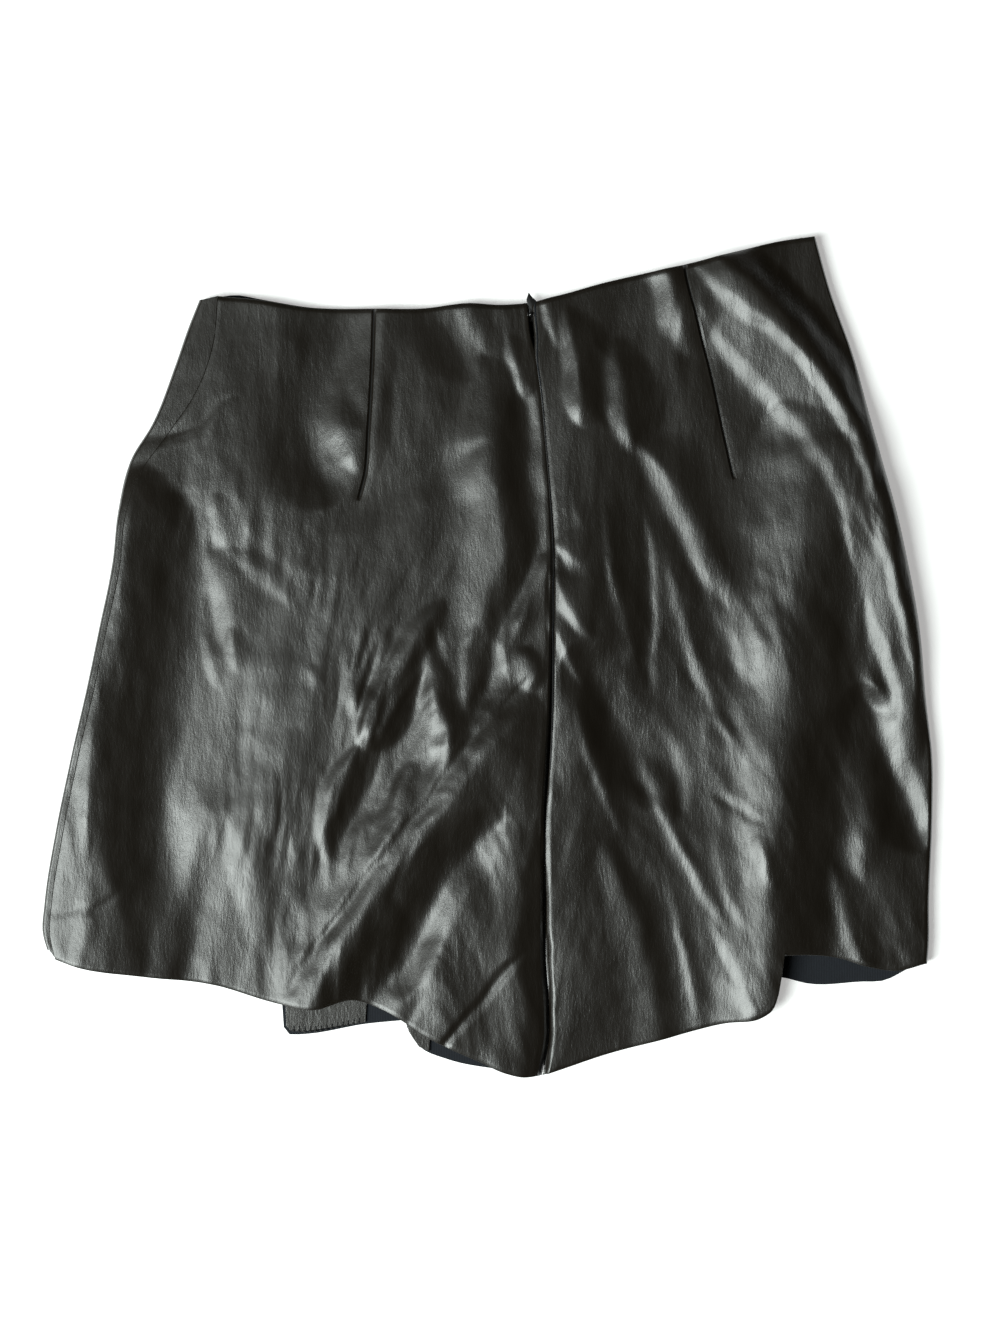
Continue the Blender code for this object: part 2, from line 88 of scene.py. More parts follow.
# Zip
ZIP_LENGTH = 175.0
ZIP_TAPE_WIDTH = 24.0
ZIP_MOUTH = 2.6
ZIP_MOUTH_LENGTH = 15.0
ZIP_MOUTH_TAPER = 22.0
TOOTH_PITCH = 1.25
SLIDER = {"width": 3.8, "length": 9.0, "height": 2.4, "top_y": 200.5}
PIVOT = {"x": 24.4, "y": 195.6, "z": 8.6, "bar": 1.0, "clearance": 0.35}
LUG = {"width": 0.7, "length": 2.2, "rise": 1.0, "gap": 2.6}
TAB = {"wall": 1.0, "eye": 3.0}
TAB_RIGHT_EDGE = ((0.9, 1.9), (3.8, 1.9), (4.9, 3.2), (4.1, 5.2), (3.2, 7.6), (1.2, 9.4), (-1.2, 12.6))
TAB_LEFT_EDGE = ((-1.8, 10.4), (-2.4, 8.2), (-1.6, 5.0), (-1.0, 1.9))

# Mesh spacing
ROWS = 262
LEFT_COLUMNS = 148
RIGHT_COLUMNS = 92
SIDE_COLUMNS = 40
TURN_STEPS = 12
WEST_COLUMNS = 16
EAST_COLUMNS = 40
FLAT_ROWS = 60
FLAT_COLUMNS = 70
TURN_UNDER = 6.0
BORDER = 0.25
TURN_START = math.radians(68)
SIDE_TURN = {"least": 1.4, "most": 3.0, "share": 0.35}

# Outlines, from the waist down, and hems and waist from left to right
LEFT_OUTLINE = (
    (-165, 204), (-171, 189), (-179, 166), (-192, 133), (-204, 113), (-211, 83), (-214, 55), (-222, 15),
    (-229, -19), (-237, -54), (-246, -97), (-253, -141), (-254, -157), (-251, -168),
)
LEFT_SIDE_SEAM = (
    (-154, 206), (-157, 177), (-166, 152), (-182, 128), (-198, 105), (-206, 80), (-209, 52), (-217, 14),
    (-224, -20), (-232, -54), (-241, -98), (-248, -141), (-249, -157), (-246, -172),
)
BACK_LEFT_WAIST = (
    (-154, 206), (-132, 204), (-106, 200), (-67, 199), (-39, 199), (-10, 202), (7, 201), (24, 202),
)
BACK_LEFT_HEM = (
    (-246, -172), (-235, -176), (-198, -182), (-157, -187), (-118, -198), (-99, -201), (-77, -196),
    (-59, -202), (-33, -218), (-5, -231), (11, -238), (20, -240), (31, -239),
)
CENTRE_SEAM = (
    (24, 202), (24.8, 190), (27.2, 172), (30.5, 148), (32.5, 125), (35, 95), (37, 61), (37, 27), (36, -42),
    (33, -93), (33, -145), (33, -174), (35, -202), (35, -216), (31, -239),
)
BACK_RIGHT_WAIST = ((24, 202), (35, 205), (43, 207), (64, 213), (109, 223), (122, 226), (156, 235))
SIDE_WAIST = ((156, 235), (165, 237), (185, 241))
BACK_RIGHT_HEM = (
    (31, -239), (40, -236), (67, -227), (102, -218), (136, -209), (155, -206), (162, -201),
    (165, -194), (167, -184), (169, -170),
)
SIDE_HEM = ((169, -170), (183, -170), (201, -172), (214, -176), (234, -179), (250, -175))
DEEP_FOLD_LINE = (
    (156, 235), (163, 205), (173, 170), (183, 130), (187, 90), (185, 33), (182, -25), (177, -86), (172, -127),
    (169, -170),
)
RIGHT_OUTLINE = (
    (187, 240), (195, 211), (210, 168), (219, 133), (236, 70), (246, 18), (250, -22), (254, -61), (254, -90),
    (252, -143), (252, -162), (251, -175),
)

# Fronts
WEST_WAIST = ((-159, 207), (-143, 207), (-132, 205), (-101, 200), (-86, 199))
WEST_HEM = ((-248, -169), (-225, -172), (-160, -181), (-133, -186))
EAST_WAIST = ((-72.5, 198.5), (-10, 199), (22, 199))
EAST_HEM = (
    (-119.5, -188), (-62, -190), (-50, -199), (-46, -215), (-39, -225), (-23, -232), (8, -238), (20, -240),
)
FRONT_SEAM = ((22, 199), (28, 160), (34, 95), (36, 27), (35, -42), (33, -145), (30, -190), (20, -240))
FRONT_RIGHT_WAIST = ((22, 199), (43, 203), (64, 209), (109, 219), (156, 231), (183, 237))
FRONT_RIGHT_HEM = (
    (20, -236), (40, -232), (67, -223), (102, -214), (136, -205), (155, -200), (164, -182), (168, -166),
    (201, -168), (238, -174),
)
WRAP_FREE_EDGE = ((-71, 198), (-118, -198), (-117, -212))
WRAP_HEM = (
    (-117, -212), (-114, -216), (-106, -216), (-69, -210), (-48, -208), (60, -198), (171, -184), (183, -187),
    (213, -186), (228, -185), (236, -181), (243, -177), (247, -176),
)
WRAP_WAIST = ((-71, 198), (-10, 199), (22, 199), (43, 203), (64, 209), (109, 219), (156, 231), (185, 237))
WRAP_FACING = ((-116, -193), (-115.5, -211), (-113, -214), (-106, -214.6), (-70, -209), (-69, -193))
LEG_TURN_UP = ((-47, -203), (-45.5, -214), (-39.5, -223), (-33.5, -225.5), (-32.5, -208))

LEFT_DART = ((-65, 200), (-66, 167), (-68, 130), (-70, 104), (-73, 92))
RIGHT_DART = ((112, 225), (114, 214), (119, 195), (122, 183), (127, 164), (134, 131), (140, 104))

# Folds of the back panels: ridges have a rise above 0 and hollows below 0. The path runs from the waist end
# to the hem end; west and east are the widths of the two flanks; crest is how rounded the line itself is;
# start and end are the shares of the path over which the fold fades. Some of these numbers were first fitted
# to the photo's shading by a program, and only partly retuned since.
Fold = namedtuple("Fold", "name path rise west east crest start end")
SIDE_FOLDS = (
    ("left roll", ((-201, 112), (-204, 90), (-206, 65), (-210, 28), (-214, 0), (-219, -35), (-222, -70),
     (-223, -105), (-217, -126), (-209, -150), (-203, -183)), 7.4, 400, 42, 3.0, 0.12, 0),
    ("strip line", ((-219, 20), (-222, -10), (-226, -45), (-228, -80), (-228, -118)),
     0.8, 6, 9, 1.5, 0.3, 0.3),
    ("left roll foot", ((-162, 125), (-166, 95), (-166, 60), (-168, 40), (-167, 10), (-169, -30),
     (-175, -60), (-184, -85), (-189, -120), (-191, -145), (-196, -184)), -2.4, 36, 50, 4.0, 0.35, 0),
    ("left leg swell 1", ((-155, -70), (-163, -100), (-172, -130), (-178, -158), (-186, -185)),
     0.6, 12, 14, 3.0, 0.4, 0),
    ("left leg hollow 1", ((-158, -92), (-160, -120), (-164, -145), (-168, -165), (-172, -188)),
     -0.8, 16, 12, 2.0, 0.4, 0),
    ("left leg swell 2", ((-134, -58), (-134, -85), (-135, -112), (-128, -138), (-127, -162), (-131, -192)),
     1.1, 16, 24, 3.0, 0.35, 0),
    ("left leg hollow 2", ((-97, -108), (-103, -130), (-110, -150), (-117, -170), (-123, -192)),
     -0.8, 24, 30, 4.0, 0.3, 0),
    ("bend crease", ((-140, 149), (-152, 144), (-161, 137), (-170, 131), (-184, 126), (-199, 119)),
     -0.6, 8, 6, 1.0, 0.5, 0),
    ("bend line", ((-168, 131), (-182, 126), (-200, 118)), 0.4, 2, 7, 0.6, 0.3, 0),
    ("bend crest", ((-200, 118), (-194, 110), (-186, 104), (-175, 100), (-164, 98)),
     0.3, 10, 20, 2.0, 0, 0.3),
    ("side ridge 1", ((-166, 122), (-165, 104), (-167, 86)), 0.3, 8, 8, 2.0, 0.3, 0.3),
    ("side ridge 2", ((-152, 96), (-152, 78), (-149, 60)), 0.4, 10, 8, 2.0, 0.3, 0.3),
    ("side ridge 3", ((-144, 110), (-139, 90), (-135, 75), (-129, 61)), 0.3, 6, 10, 2.0, 0.3, 0.3),
    ("hip diagonal", ((-150, 61), (-137, 53), (-125, 45), (-108, 27)), 0.6, 8, 10, 1.4, 0.5, 0.5),
    ("hip knot", ((-158, 60), (-152, 42), (-147, 24), (-145, 4)), 1.5, 13, 28, 2.5, 0.4, 0.5),
    ("hip streak 1", ((-148, 18), (-145, 4), (-143, -8)), 0.8, 5, 12, 1.2, 0.5, 0.5),
    ("hip streak 2", ((-162, 14), (-158, -1), (-154, -18)), 0.7, 5, 10, 1.2, 0.5, 0.5),
    ("hip streak 3", ((-104, -6), (-97, -11), (-90, -16)), 0.3, 7, 8, 1.5, 0.3, 0.3),
    ("left lower swell", ((-112, -40), (-116, -80), (-120, -109)), 1.0, 20, 20, 6.0, 0.3, 0.3),
    ("side crease 1", ((-227, -140), (-246, -145)), -0.35, 5, 5, 1.0, 0.4, 0),
    ("side crease 2", ((-208, -131), (-222, -142), (-230, -147)), -0.5, 4, 4, 1.0, 0.3, 0.3),
    ("strip streak", ((-228, -122), (-229, -140), (-228, -156), (-235, -177)), 0.5, 8, 8, 1.2, 0.3, 0),
)
SEAT_FOLDS = (
    ("dart hollow", ((-81, 199), (-87, 176), (-95, 154), (-101, 132), (-98, 110), (-86, 88)),
     -3.8, 44, 34, 3.0, 0, 0.3),
    ("dart streak", ((-86, 160), (-84, 142), (-79, 122), (-72, 103)), 1.1, 14, 18, 2.0, 0.6, 0.25),
    ("dart swell", ((-61, 199), (-62, 165), (-64, 130), (-67, 102)), 0.9, 16, 10, 2.0, 0, 0.3),
    ("seat band", ((1, 125), (-19, 112), (-44, 99), (-69, 86), (-87, 72)), -0.9, 14, 18, 3.0, 0.25, 0.3),
    ("zip left hollow", ((-32, 199), (-24, 187), (-15, 172), (-8, 158)), -1.7, 26, 20, 2.0, 0, 0.6),
    ("zip left swell", ((-12, 200), (-3, 187), (4, 172)), 0.5, 10, 8, 2.0, 0, 0.4),
    ("zip left streak", ((12, 184), (16, 165), (21, 146)), 1.2, 6, 16, 1.0, 0.5, 0.2),
    ("seat left crest", ((-2, 172), (2, 156), (2, 140), (1, 124), (3, 108), (8, 88), (11, 66), (9, 48),
     (1, 30), (-10, 6)), 3.2, 32, 30, 3.0, 0.35, 0.35),
    ("seat left foot", ((18, 158), (20, 135), (21, 110), (24, 88), (28, 68), (25, 50), (15, 34), (7, 20),
     (4, 8)), -1.8, 18, 14, 3.0, 0.25, 0.2),
    ("crest A", ((-24, 33), (-37, 17), (-46, 3), (-55, -14), (-61, -28), (-65, -42), (-68, -54)),
     2.4, 12, 16, 2.0, 0.3, 0.15),
    ("hollow A", ((-28, 17), (-36, -3), (-41, -23), (-48, -39), (-57, -55), (-66, -71), (-76, -85),
     (-84, -99), (-88, -118)), -2.2, 12, 16, 2.0, 0.25, 0.25),
    ("streak A", ((-76, -12), (-70, -34), (-65, -54)), 1.2, 9, 16, 1.4, 0.5, 0.3),
    ("crest A lower", ((-70, -50), (-84, -68), (-91, -82), (-93, -96), (-91, -118)),
     2.2, 10, 20, 1.2, 0.5, 0.4),
    ("seat shine", ((-44, -60), (-50, -80), (-55, -100), (-66, -118)), 1.3, 13, 16, 2.0, 0.4, 0.4),
    ("crest B", ((-34, 18), (-33, -6), (-31, -20), (-26, -33), (-22, -46), (-22, -62), (-34, -84)),
     2.3, 14, 14, 1.8, 0.35, 0.4),
    ("crest C", ((-6, 18), (-10, 0), (-11, -15), (-14, -30)), 0.6, 6, 10, 1.5, 0.3, 0.3),
    ("hollow C", ((3, 12), (2, -6), (-2, -22), (-9, -38), (-16, -52), (-24, -66), (-34, -84)),
     -1.2, 9, 10, 1.5, 0.2, 0.3),
    ("seat spot", ((16, 6), (24, -6), (27, -20)), 1.7, 15, 12, 3.0, 0.5, 0.5),
    ("seat stripe", ((38, 62), (29, 43), (22, 29), (17, 14), (13, 0)), 1.3, 9, 12, 1.5, 0.2, 0.5),
    ("seat rib", ((10, 20), (10, 2), (14, -16)), 0.6, 5, 9, 1.2, 0.5, 0.5),
    ("big diagonal", ((28, -22), (7, -46), (-10, -69), (-26, -91), (-43, -113), (-58, -132), (-74, -152),
     (-88, -173), (-97, -191), (-101, -201)), 5.2, 40, 39, 2.0, 0.2, 0),
    ("big crease", ((26, -8), (11, -26), (-2, -40), (-12, -52), (-23, -68), (-33, -82), (-44, -96),
     (-58, -113), (-74, -133), (-90, -154), (-102, -173), (-114, -194)), -0.9, 5, 10, 1.2, 0.1, 0.05),
    ("diagonal foot", ((9, -89), (-11, -109), (-25, -125), (-34, -143), (-41, -161), (-48, -173),
     (-61, -185), (-72, -199)), -3.2, 28, 18, 4.0, 0.25, 0),
    ("crotch swell", ((-18, -112), (-21, -145), (-24, -162), (-28, -180), (-27, -196), (-31, -217)),
     1.6, 18, 44, 4.0, 0.4, 0),
    ("hem crease", ((22, -168), (6, -185), (-5, -197), (-15, -207), (-26, -221)), -1.0, 4, 4, 1.0, 0.2, 0),
    ("seam fall", ((31, -90), (32, -130), (33, -170), (35, -200), (33, -239)), -3.2, 16, 2, 3.0, 0.5, 0),
    ("inseam swell", ((22, -50), (17, -90), (12, -125), (12, -160), (14, -195), (10, -234)),
     0.7, 14, 14, 4.0, 0.4, 0),
)
RIGHT_FOLDS = (
    ("zip right streak", ((45, 200), (50, 176), (54, 152), (55, 131)), 2.4, 12, 24, 1.0, 0.5, 0.2),
    ("zip right patch", ((34, 204), (38, 190), (40, 174)), 1.1, 6, 16, 2.0, 0, 0.6),
    ("waist ridge", ((72, 182), (76, 162), (80, 138), (85, 117)), 2.4, 14, 24, 1.2, 0.4, 0.25),
    ("waist hollow", ((60, 176), (64, 156), (70, 132)), -1.0, 12, 10, 2.0, 0.4, 0.4),
    ("dart side streak", ((99, 226), (106, 207), (112, 190), (118, 170)), 3.4, 16, 24, 1.5, 0, 0.5),
    ("hip ridge foot", ((88, 119), (99, 100), (108, 85), (116, 68), (127, 48), (139, 21), (150, -3)),
     -0.8, 28, 8, 1.5, 0.25, 0.6),
    ("hip ridge", ((86, 124), (95, 113), (103, 101), (111, 84), (119, 66), (127, 49), (137, 28)),
     2.4, 12, 30, 1.2, 0.25, 0.6),
    ("right rib 1", ((88, 84), (91, 52), (92, 26), (91, 0), (95, -32)), -1.0, 14, 6, 1.0, 0.3, 0.4),
    ("right rib 2", ((66, 90), (72, 48), (78, 22), (86, -8)), 0.8, 6, 12, 1.2, 0.4, 0.4),
    ("right rib 3", ((102, 62), (108, 42), (114, 20), (121, -2), (130, -24), (143, -52)),
     1.0, 8, 14, 1.2, 0.3, 0.4),
    ("right hollow 3", ((114, 36), (124, 20), (134, 6), (143, -10), (149, -34)),
     -0.3, 14, 9, 1.2, 0.3, 0.4),
    ("knot upper", ((37, 66), (45, 61), (54, 52)), 1.0, 6, 16, 1.5, 0.4, 0.5),
    ("knot", ((36, 50), (42, 36), (49, 24), (59, 10)), 1.9, 7, 20, 1.2, 0.3, 0.5),
    ("knot lower", ((35, 28), (40, 12), (46, 0), (54, -18)), 1.2, 5, 16, 1.2, 0.3, 0.5),
    ("right swell", ((62, 190), (60, 120), (56, 60), (52, 0), (48, -80)), 1.8, 30, 30, 8.0, 0.3, 0.3),
    ("right leg hollow", ((100, 60), (108, 0), (104, -60), (104, -120), (106, -210)),
     -3.6, 60, 60, 20.0, 0.3, 0),
    ("leg foot 1", ((50, 10), (57, -7), (64, -21), (72, -37), (81, -53), (88, -70), (94, -88)),
     -3.4, 24, 27, 3.0, 0.2, 0.3),
    ("leg rib 2", ((50, -25), (58, -52), (67, -76), (80, -107)), 1.0, 7, 12, 1.2, 0.4, 0.5),
    ("leg spot", ((86, -54), (93, -68), (101, -84), (106, -97)), 1.2, 8, 12, 1.5, 0.4, 0.5),
    ("leg dip", ((96, -40), (103, -56), (109, -72), (112, -92)), -1.0, 12, 10, 2.0, 0.5, 0.5),
    ("leg crest 3", ((94, -80), (106, -100), (116, -119), (125, -136), (134, -154)),
     1.3, 6, 18, 0.8, 0.4, 0.4),
    ("leg line 1", ((126, -146), (134, -163), (143, -184), (151, -206)), 0.8, 5, 14, 0.8, 0.3, 0.1),
    ("leg line 2", ((107, -146), (112, -165), (116, -184), (119, -204)), 0.5, 3, 10, 0.6, 0.4, 0.3),
    ("leg line 3", ((146, -96), (152, -107), (157, -118), (161, -128)), 0.8, 4, 9, 0.6, 0.4, 0.4),
    ("leg rib 4", ((130, -100), (134, -122), (138, -138), (147, -156)), 0.8, 7, 10, 1.2, 0.4, 0.5),
    ("leg rib 5", ((148, -84), (157, -108), (165, -134)), 0.9, 9, 14, 1.2, 0.5, 0.5),
    ("leg rib 6", ((126, -76), (137, -84), (146, -90), (160, -97)), -0.7, 4, 5, 1.0, 0.4, 0.5),
    ("hem swell 1", ((66, -104), (80, -138), (88, -160), (94, -185), (98, -219)),
     1.7, 20, 16, 2.0, 0.25, 0),
    ("hem rib 2", ((100, -118), (109, -146), (115, -172), (118, -190), (121, -214)),
     0.5, 6, 12, 1.0, 0.4, 0),
)
ROLL_FOLDS = (
    ("deep fold", ((166, 146), (177, 114), (181, 85), (180, 55), (177, 30), (173, 0), (171, -40), (168, -80),
     (165, -120), (163, -160), (160, -206)), 4.8, 35, 39, 6.0, 0.12, 0),
    ("deep foot", ((170, 138), (185, 122), (195, 108), (201, 92), (206, 72), (211, 42), (215, 10),
     (212, -26), (203, -55), (201, -80), (198, -105), (195, -130), (193, -180)), -1.4, 30, 26, 3.0, 0.1, 0),
    ("inner roll", ((118, 204), (128, 192), (143, 174), (163, 152), (181, 133), (189, 121), (196, 109),
     (201, 97), (205, 83), (209, 62), (212, 42)), 1.7, 12, 60, 2.0, 0.3, 0.5),
    ("roll body", ((116, 240), (150, 212), (172, 190), (190, 165), (206, 138), (218, 105), (228, 70),
     (236, 32), (242, -10), (246, -60)), 8.6, 52, 20, 3.0, 0.12, 0.4),
    ("roll ease", ((196, 128), (204, 100), (209, 70), (213, 40), (217, 8), (222, -30)),
     2.6, 90, 26, 4.0, 0.3, 0.3),
    ("outer roll", ((116, 225), (127, 215), (144, 203), (164, 188), (180, 173), (196, 151), (209, 127),
     (221, 93), (230, 58), (239, 15), (246, -25)), 1.5, 8, 18, 1.5, 0.12, 0.35),
    ("roll wedge", ((212, 34), (217, 12), (225, -9), (234, -36)), -1.5, 10, 9, 1.5, 0.5, 0.4),
    ("side foot", ((212, -14), (219, -34), (226, -55), (233, -75), (241, -92), (248, -112)),
     -3.7, 27, 17, 1.5, 0.2, 0.2),
    ("side band", ((212, -24), (219, -44), (221, -66), (219, -88), (215, -110), (214, -130)),
     0.9, 12, 12, 3.4, 0.2, 0.3),
    ("side streak", ((196, -116), (204, -142), (210, -159), (216, -177)), 1.2, 8, 14, 1.2, 0.4, 0),
)
FOLDS = [Fold(*row) for row in SIDE_FOLDS + SEAT_FOLDS + RIGHT_FOLDS + ROLL_FOLDS]


def smooth(value):
    """Ease from 0 to 1."""
    t = np.clip(value, 0.0, 1.0)
    return t * t * (3.0 - 2.0 * t)


def curve(points, count):
    """Evenly spaced points on a smooth curve through a short row of points."""
    knots = np.array(points, float)
    chord = np.concatenate(([0.0], np.cumsum(np.linalg.norm(np.diff(knots, axis=0), axis=1))))
    if len(knots) == 2:
        dense = knots
    else:
        slopes = np.gradient(knots, chord, axis=0)
        at = np.linspace(0.0, chord[-1], 16 * len(knots))
        k = np.clip(np.searchsorted(chord, at, side="right") - 1, 0, len(knots) - 2)
        span = (chord[k + 1] - chord[k])[:, None]
        t = (at - chord[k])[:, None] / span
        dense = (
            (2 * t**3 - 3 * t**2 + 1) * knots[k]
            + (t**3 - 2 * t**2 + t) * span * slopes[k]
            + (3 * t**2 - 2 * t**3) * knots[k + 1]
            + (t**3 - t**2) * span * slopes[k + 1]
        )
    length = np.concatenate(([0.0], np.cumsum(np.linalg.norm(np.diff(dense, axis=0), axis=1))))
    even = np.linspace(0.0, length[-1], count)
    return np.stack([np.interp(even, length, dense[:, axis]) for axis in range(2)], axis=1)


def arc_length(line):
    return np.concatenate(([0.0], np.cumsum(np.linalg.norm(np.diff(line, axis=0), axis=1))))


def respaced(line, shares):
    """The same line read at other shares of its length."""
    length = arc_length(line)
    return np.stack([np.interp(shares * length[-1], length, line[:, axis]) for axis in range(2)], axis=1)


def shifted(line, distance):
    """Move a line that runs down the garment sideways; positive is east."""
    along = np.gradient(line, axis=0)
    along /= np.linalg.norm(along, axis=1)[:, None]
    amount = np.broadcast_to(distance, len(line))[:, None]
    return line + amount * np.stack([-along[:, 1], along[:, 0]], axis=1)


def patch(top, bottom, left, right, u=None):
    """Rows and columns of plan points between four edges that meet at their corners."""
    u = np.linspace(0.0, 1.0, len(top)) if u is None else u
    u = u[None, :, None]
    v = np.linspace(0.0, 1.0, len(left))[:, None, None]
    between_sides = (1 - u) * left[:, None] + u * right[:, None]
    between_ends = (1 - v) * top[None] + v * bottom[None]
    corners = (1 - v) * ((1 - u) * top[0] + u * top[-1]) + v * ((1 - u) * bottom[0] + u * bottom[-1])
    return between_sides + between_ends - corners


def path_offset(path, plan):
    """Signed distance to a path, positive east of it, plain distance, and the share of the path reached."""
    line = curve(path, 72)
    steps = len(line) - 1
    step_length = np.linalg.norm(line[1] - line[0])
    along = np.gradient(line, axis=0)
    along /= np.linalg.norm(along, axis=1)[:, None]
    offset = plan[:, None, :] - line
    nearest = np.argmin((offset**2).sum(-1), axis=-1)
    away = np.take_along_axis(offset, nearest[:, None, None], axis=1)[:, 0]
    direction = along[nearest]
    east = direction[:, 0] * away[:, 1] - direction[:, 1] * away[:, 0]
    forward = (direction * away).sum(-1)
    share = np.clip((nearest + forward / step_length) / steps, 0.0, 1.0)
    past_end = ((nearest == 0) & (forward < 0)) | ((nearest == steps) & (forward > 0))
    distance = np.where(past_end, np.hypot(east, forward), np.abs(east))
    return east, distance, share


def swell(x, y, seed):
    """Smooth uneven waves, about -0.7 to 0.7, with one wave to a unit."""
    column, row = np.floor(x), np.floor(y)
    total = np.zeros(np.broadcast(x, y).shape)
    for next_column in (0, 1):
        for next_row in (0, 1):
            corner = (column + next_column) * 127.1 + (row + next_row) * 311.7 + seed * 74.7
            mixed = np.sin(corner) * 43758.5453
            angle = 2.0 * math.pi * (mixed - np.floor(mixed))
            across, along = x - column - next_column, y - row - next_row
            weight = smooth(1.0 - np.abs(across)) * smooth(1.0 - np.abs(along))
            total = total + weight * (np.cos(angle) * across + np.sin(angle) * along)
    return total


def wandering(plan):
    """Plan points moved a little this way and that, so that no fold runs quite evenly."""
    x, y = plan[:, 0], plan[:, 1]
    moved = plan
    for wave in WANDERS:
        seeds = (wave.first_seed, wave.first_seed + 1)
        sideways = np.stack([swell(x / wave.width, y / wave.length, seed) for seed in seeds], axis=1)
        moved = moved + wave.amount * sideways
    return moved


def fold_lift(fold, plan):
    """Height that one fold adds at each of a row of plan points; it narrows and sinks towards its ends."""
    reach = max(fold.west, fold.east)
    path = np.array(fold.path, float)
    near = ((plan > path.min(0) - reach) & (plan < path.max(0) + reach)).all(-1)
    lift = np.zeros(len(plan))
    if near.any():
        east, distance, share = path_offset(fold.path, plan[near])
        fade = np.sqrt(smooth(share / fold.start)) if fold.start else np.ones(len(share))
        fade = fade * (np.sqrt(smooth((1.0 - share) / fold.end)) if fold.end else 1.0)
        uneven = UNEVEN["share"] * min(1.0, UNEVEN["even_from"] / reach)
        along = share * arc_length(path)[-1] / UNEVEN["wave"]
        unevenness = 1.0 + uneven * swell(along, np.full(len(share), 0.5), fold.west)
        width = np.where(east > 0, fold.east, fold.west) * (0.2 + 0.8 * fade) * unevenness
        reached = (np.hypot(distance, fold.crest) - fold.crest) / (np.hypot(width, fold.crest) - fold.crest)
        reached = np.clip(reached, 0.0, 1.0)
        lift[near] = fold.rise * fade * (1.0 - reached) ** 2 * (1.0 + reached)
    return lift


def fanned(x, y):
    """Sideways position along the fine creases, which run down from the waist and fan out below the seat."""
    from_centre = x - FAN_CENTRE
    lean = np.where(from_centre > 0, 0.42 * np.tanh(from_centre / 55.0),
                    -0.62 * np.exp(-((from_centre + 75.0) / 55.0) ** 2))
    return x - lean * np.clip(FAN_TOP - y, 0.0, None)


def fine_creases(plan):
    """Low uneven waves and thin creases that soft faux leather keeps when it is laid down."""
    x, y = plan[:, 0], plan[:, 1]
    across = fanned(x, y)
    broad = swell(across / 30.0, y / 62.0, 11)
    patches = smooth(0.5 + 1.1 * swell(x / 42.0, y / 58.0, 12))
    ribs = 1.0 - np.abs(swell(across / 12.0, y / 46.0, 13)) * 2.4
    threads = 1.0 - np.abs(swell(across / 5.5, y / 24.0, 14)) * 2.4
    mottle = swell(x / 7.0, y / 10.0, 15)
    creased = 0.4 + 0.6 * smooth((CALM_ABOVE - y + 0.5 * np.abs(x - FAN_CENTRE)) / 90.0)
    from_spot = np.hypot((x - CALM_SPOT["x"]) / CALM_SPOT["half_width"],
                         (y - CALM_SPOT["y"]) / CALM_SPOT["half_length"])
    creased = creased * (1.0 - CALM_SPOT["calm"] * np.exp(-from_spot**2))
    for middle in DARK_BANDS["middles"]:
        creased = creased * (1.0 - DARK_BANDS["calm"] * np.exp(-((x - middle) / DARK_BANDS["width"]) ** 2))
    return 1.2 * broad + creased * (patches * (0.62 * ribs + 0.3 * threads) + 0.16 * mottle)


def back_height(plan):
    """Height of the outer face of the back panels over each plan point."""
    shape = plan.shape[:-1]
    flat = plan.reshape(-1, 2)
    x, y = flat[:, 0], flat[:, 1]
    dome = DOME * np.clip(1.0 - (x / 200.0) ** 2, 0.0, 1.0)
    height = BACK_REST + dome * np.clip(1.0 - (y / 190.0) ** 2, 0.0, 1.0)
    moved = wandering(flat)
    for fold in FOLDS:
        height = height + fold_lift(fold, moved)
    height = height + fine_creases(flat)
    lowest = BACK_LOWEST + BACK_CLEARANCE
    return 0.5 * (height + lowest + np.sqrt((height - lowest) ** 2 + 1.0)).reshape(shape)


def edge_roll(distance, depth, width):
    """Drop of a rounded edge, from its distance to the edge."""
    inside = np.clip(distance / width, 0.0, 1.0)
    return depth * (1.0 - np.sqrt(1.0 - (1.0 - inside) ** 2))


def distance_along(grid, axis, from_end):
    """Distance of each point of a grid from one end of its row or column."""
    step = np.linalg.norm(np.diff(grid[..., :2], axis=axis), axis=-1)
    zero = np.zeros_like(np.take(step, [0], axis=axis))
    if from_end:
        total = np.flip(np.cumsum(np.flip(step, axis), axis=axis), axis)
        return np.concatenate([total, zero], axis=axis)
    return np.concatenate([zero, np.cumsum(step, axis=axis)], axis=axis)


def with_height(plan, height):
    return np.concatenate([plan, np.broadcast_to(height, plan.shape[:-1])[..., None]], axis=-1)


def mouth(line):
    """Half the gap between the two back panels along the centre seam."""
    open_share = 1.0 - smooth((arc_length(line) - ZIP_MOUTH_LENGTH) / ZIP_MOUTH_TAPER)
    return GAP / 2 + (ZIP_MOUTH - GAP / 2) * open_share


def crowded(count, at_start, at_end, share=0.5):
    """Shares from 0 to 1 that lie closer together towards the chosen ends."""
    t = np.linspace(0.0, 1.0, count)
    bent = t.copy()
    if at_start and at_end:
        bent = 0.5 - 0.5 * np.cos(math.pi * t)
    elif at_start:
        bent = 1.0 - np.cos(0.5 * math.pi * t)
    elif at_end:
        bent = np.sin(0.5 * math.pi * t)
    return share * bent + (1.0 - share) * t


# Materials

def linear(code):
    """An sRGB hex colour as linear values."""
    values = [int(code[k:k + 2], 16) / 255.0 for k in (1, 3, 5)]
    return tuple(v / 12.92 if v <= 0.04045 else ((v + 0.055) / 1.055) ** 2.4 for v in values) + (1.0,)


def new_material(name, **settings):
    made = bpy.data.materials.new(name)
    made.use_nodes = True
    shader = made.node_tree.nodes["Principled BSDF"]
    for socket, value in settings.items():
        shader.inputs[socket.replace("_", " ")].default_value = value
    return made, shader


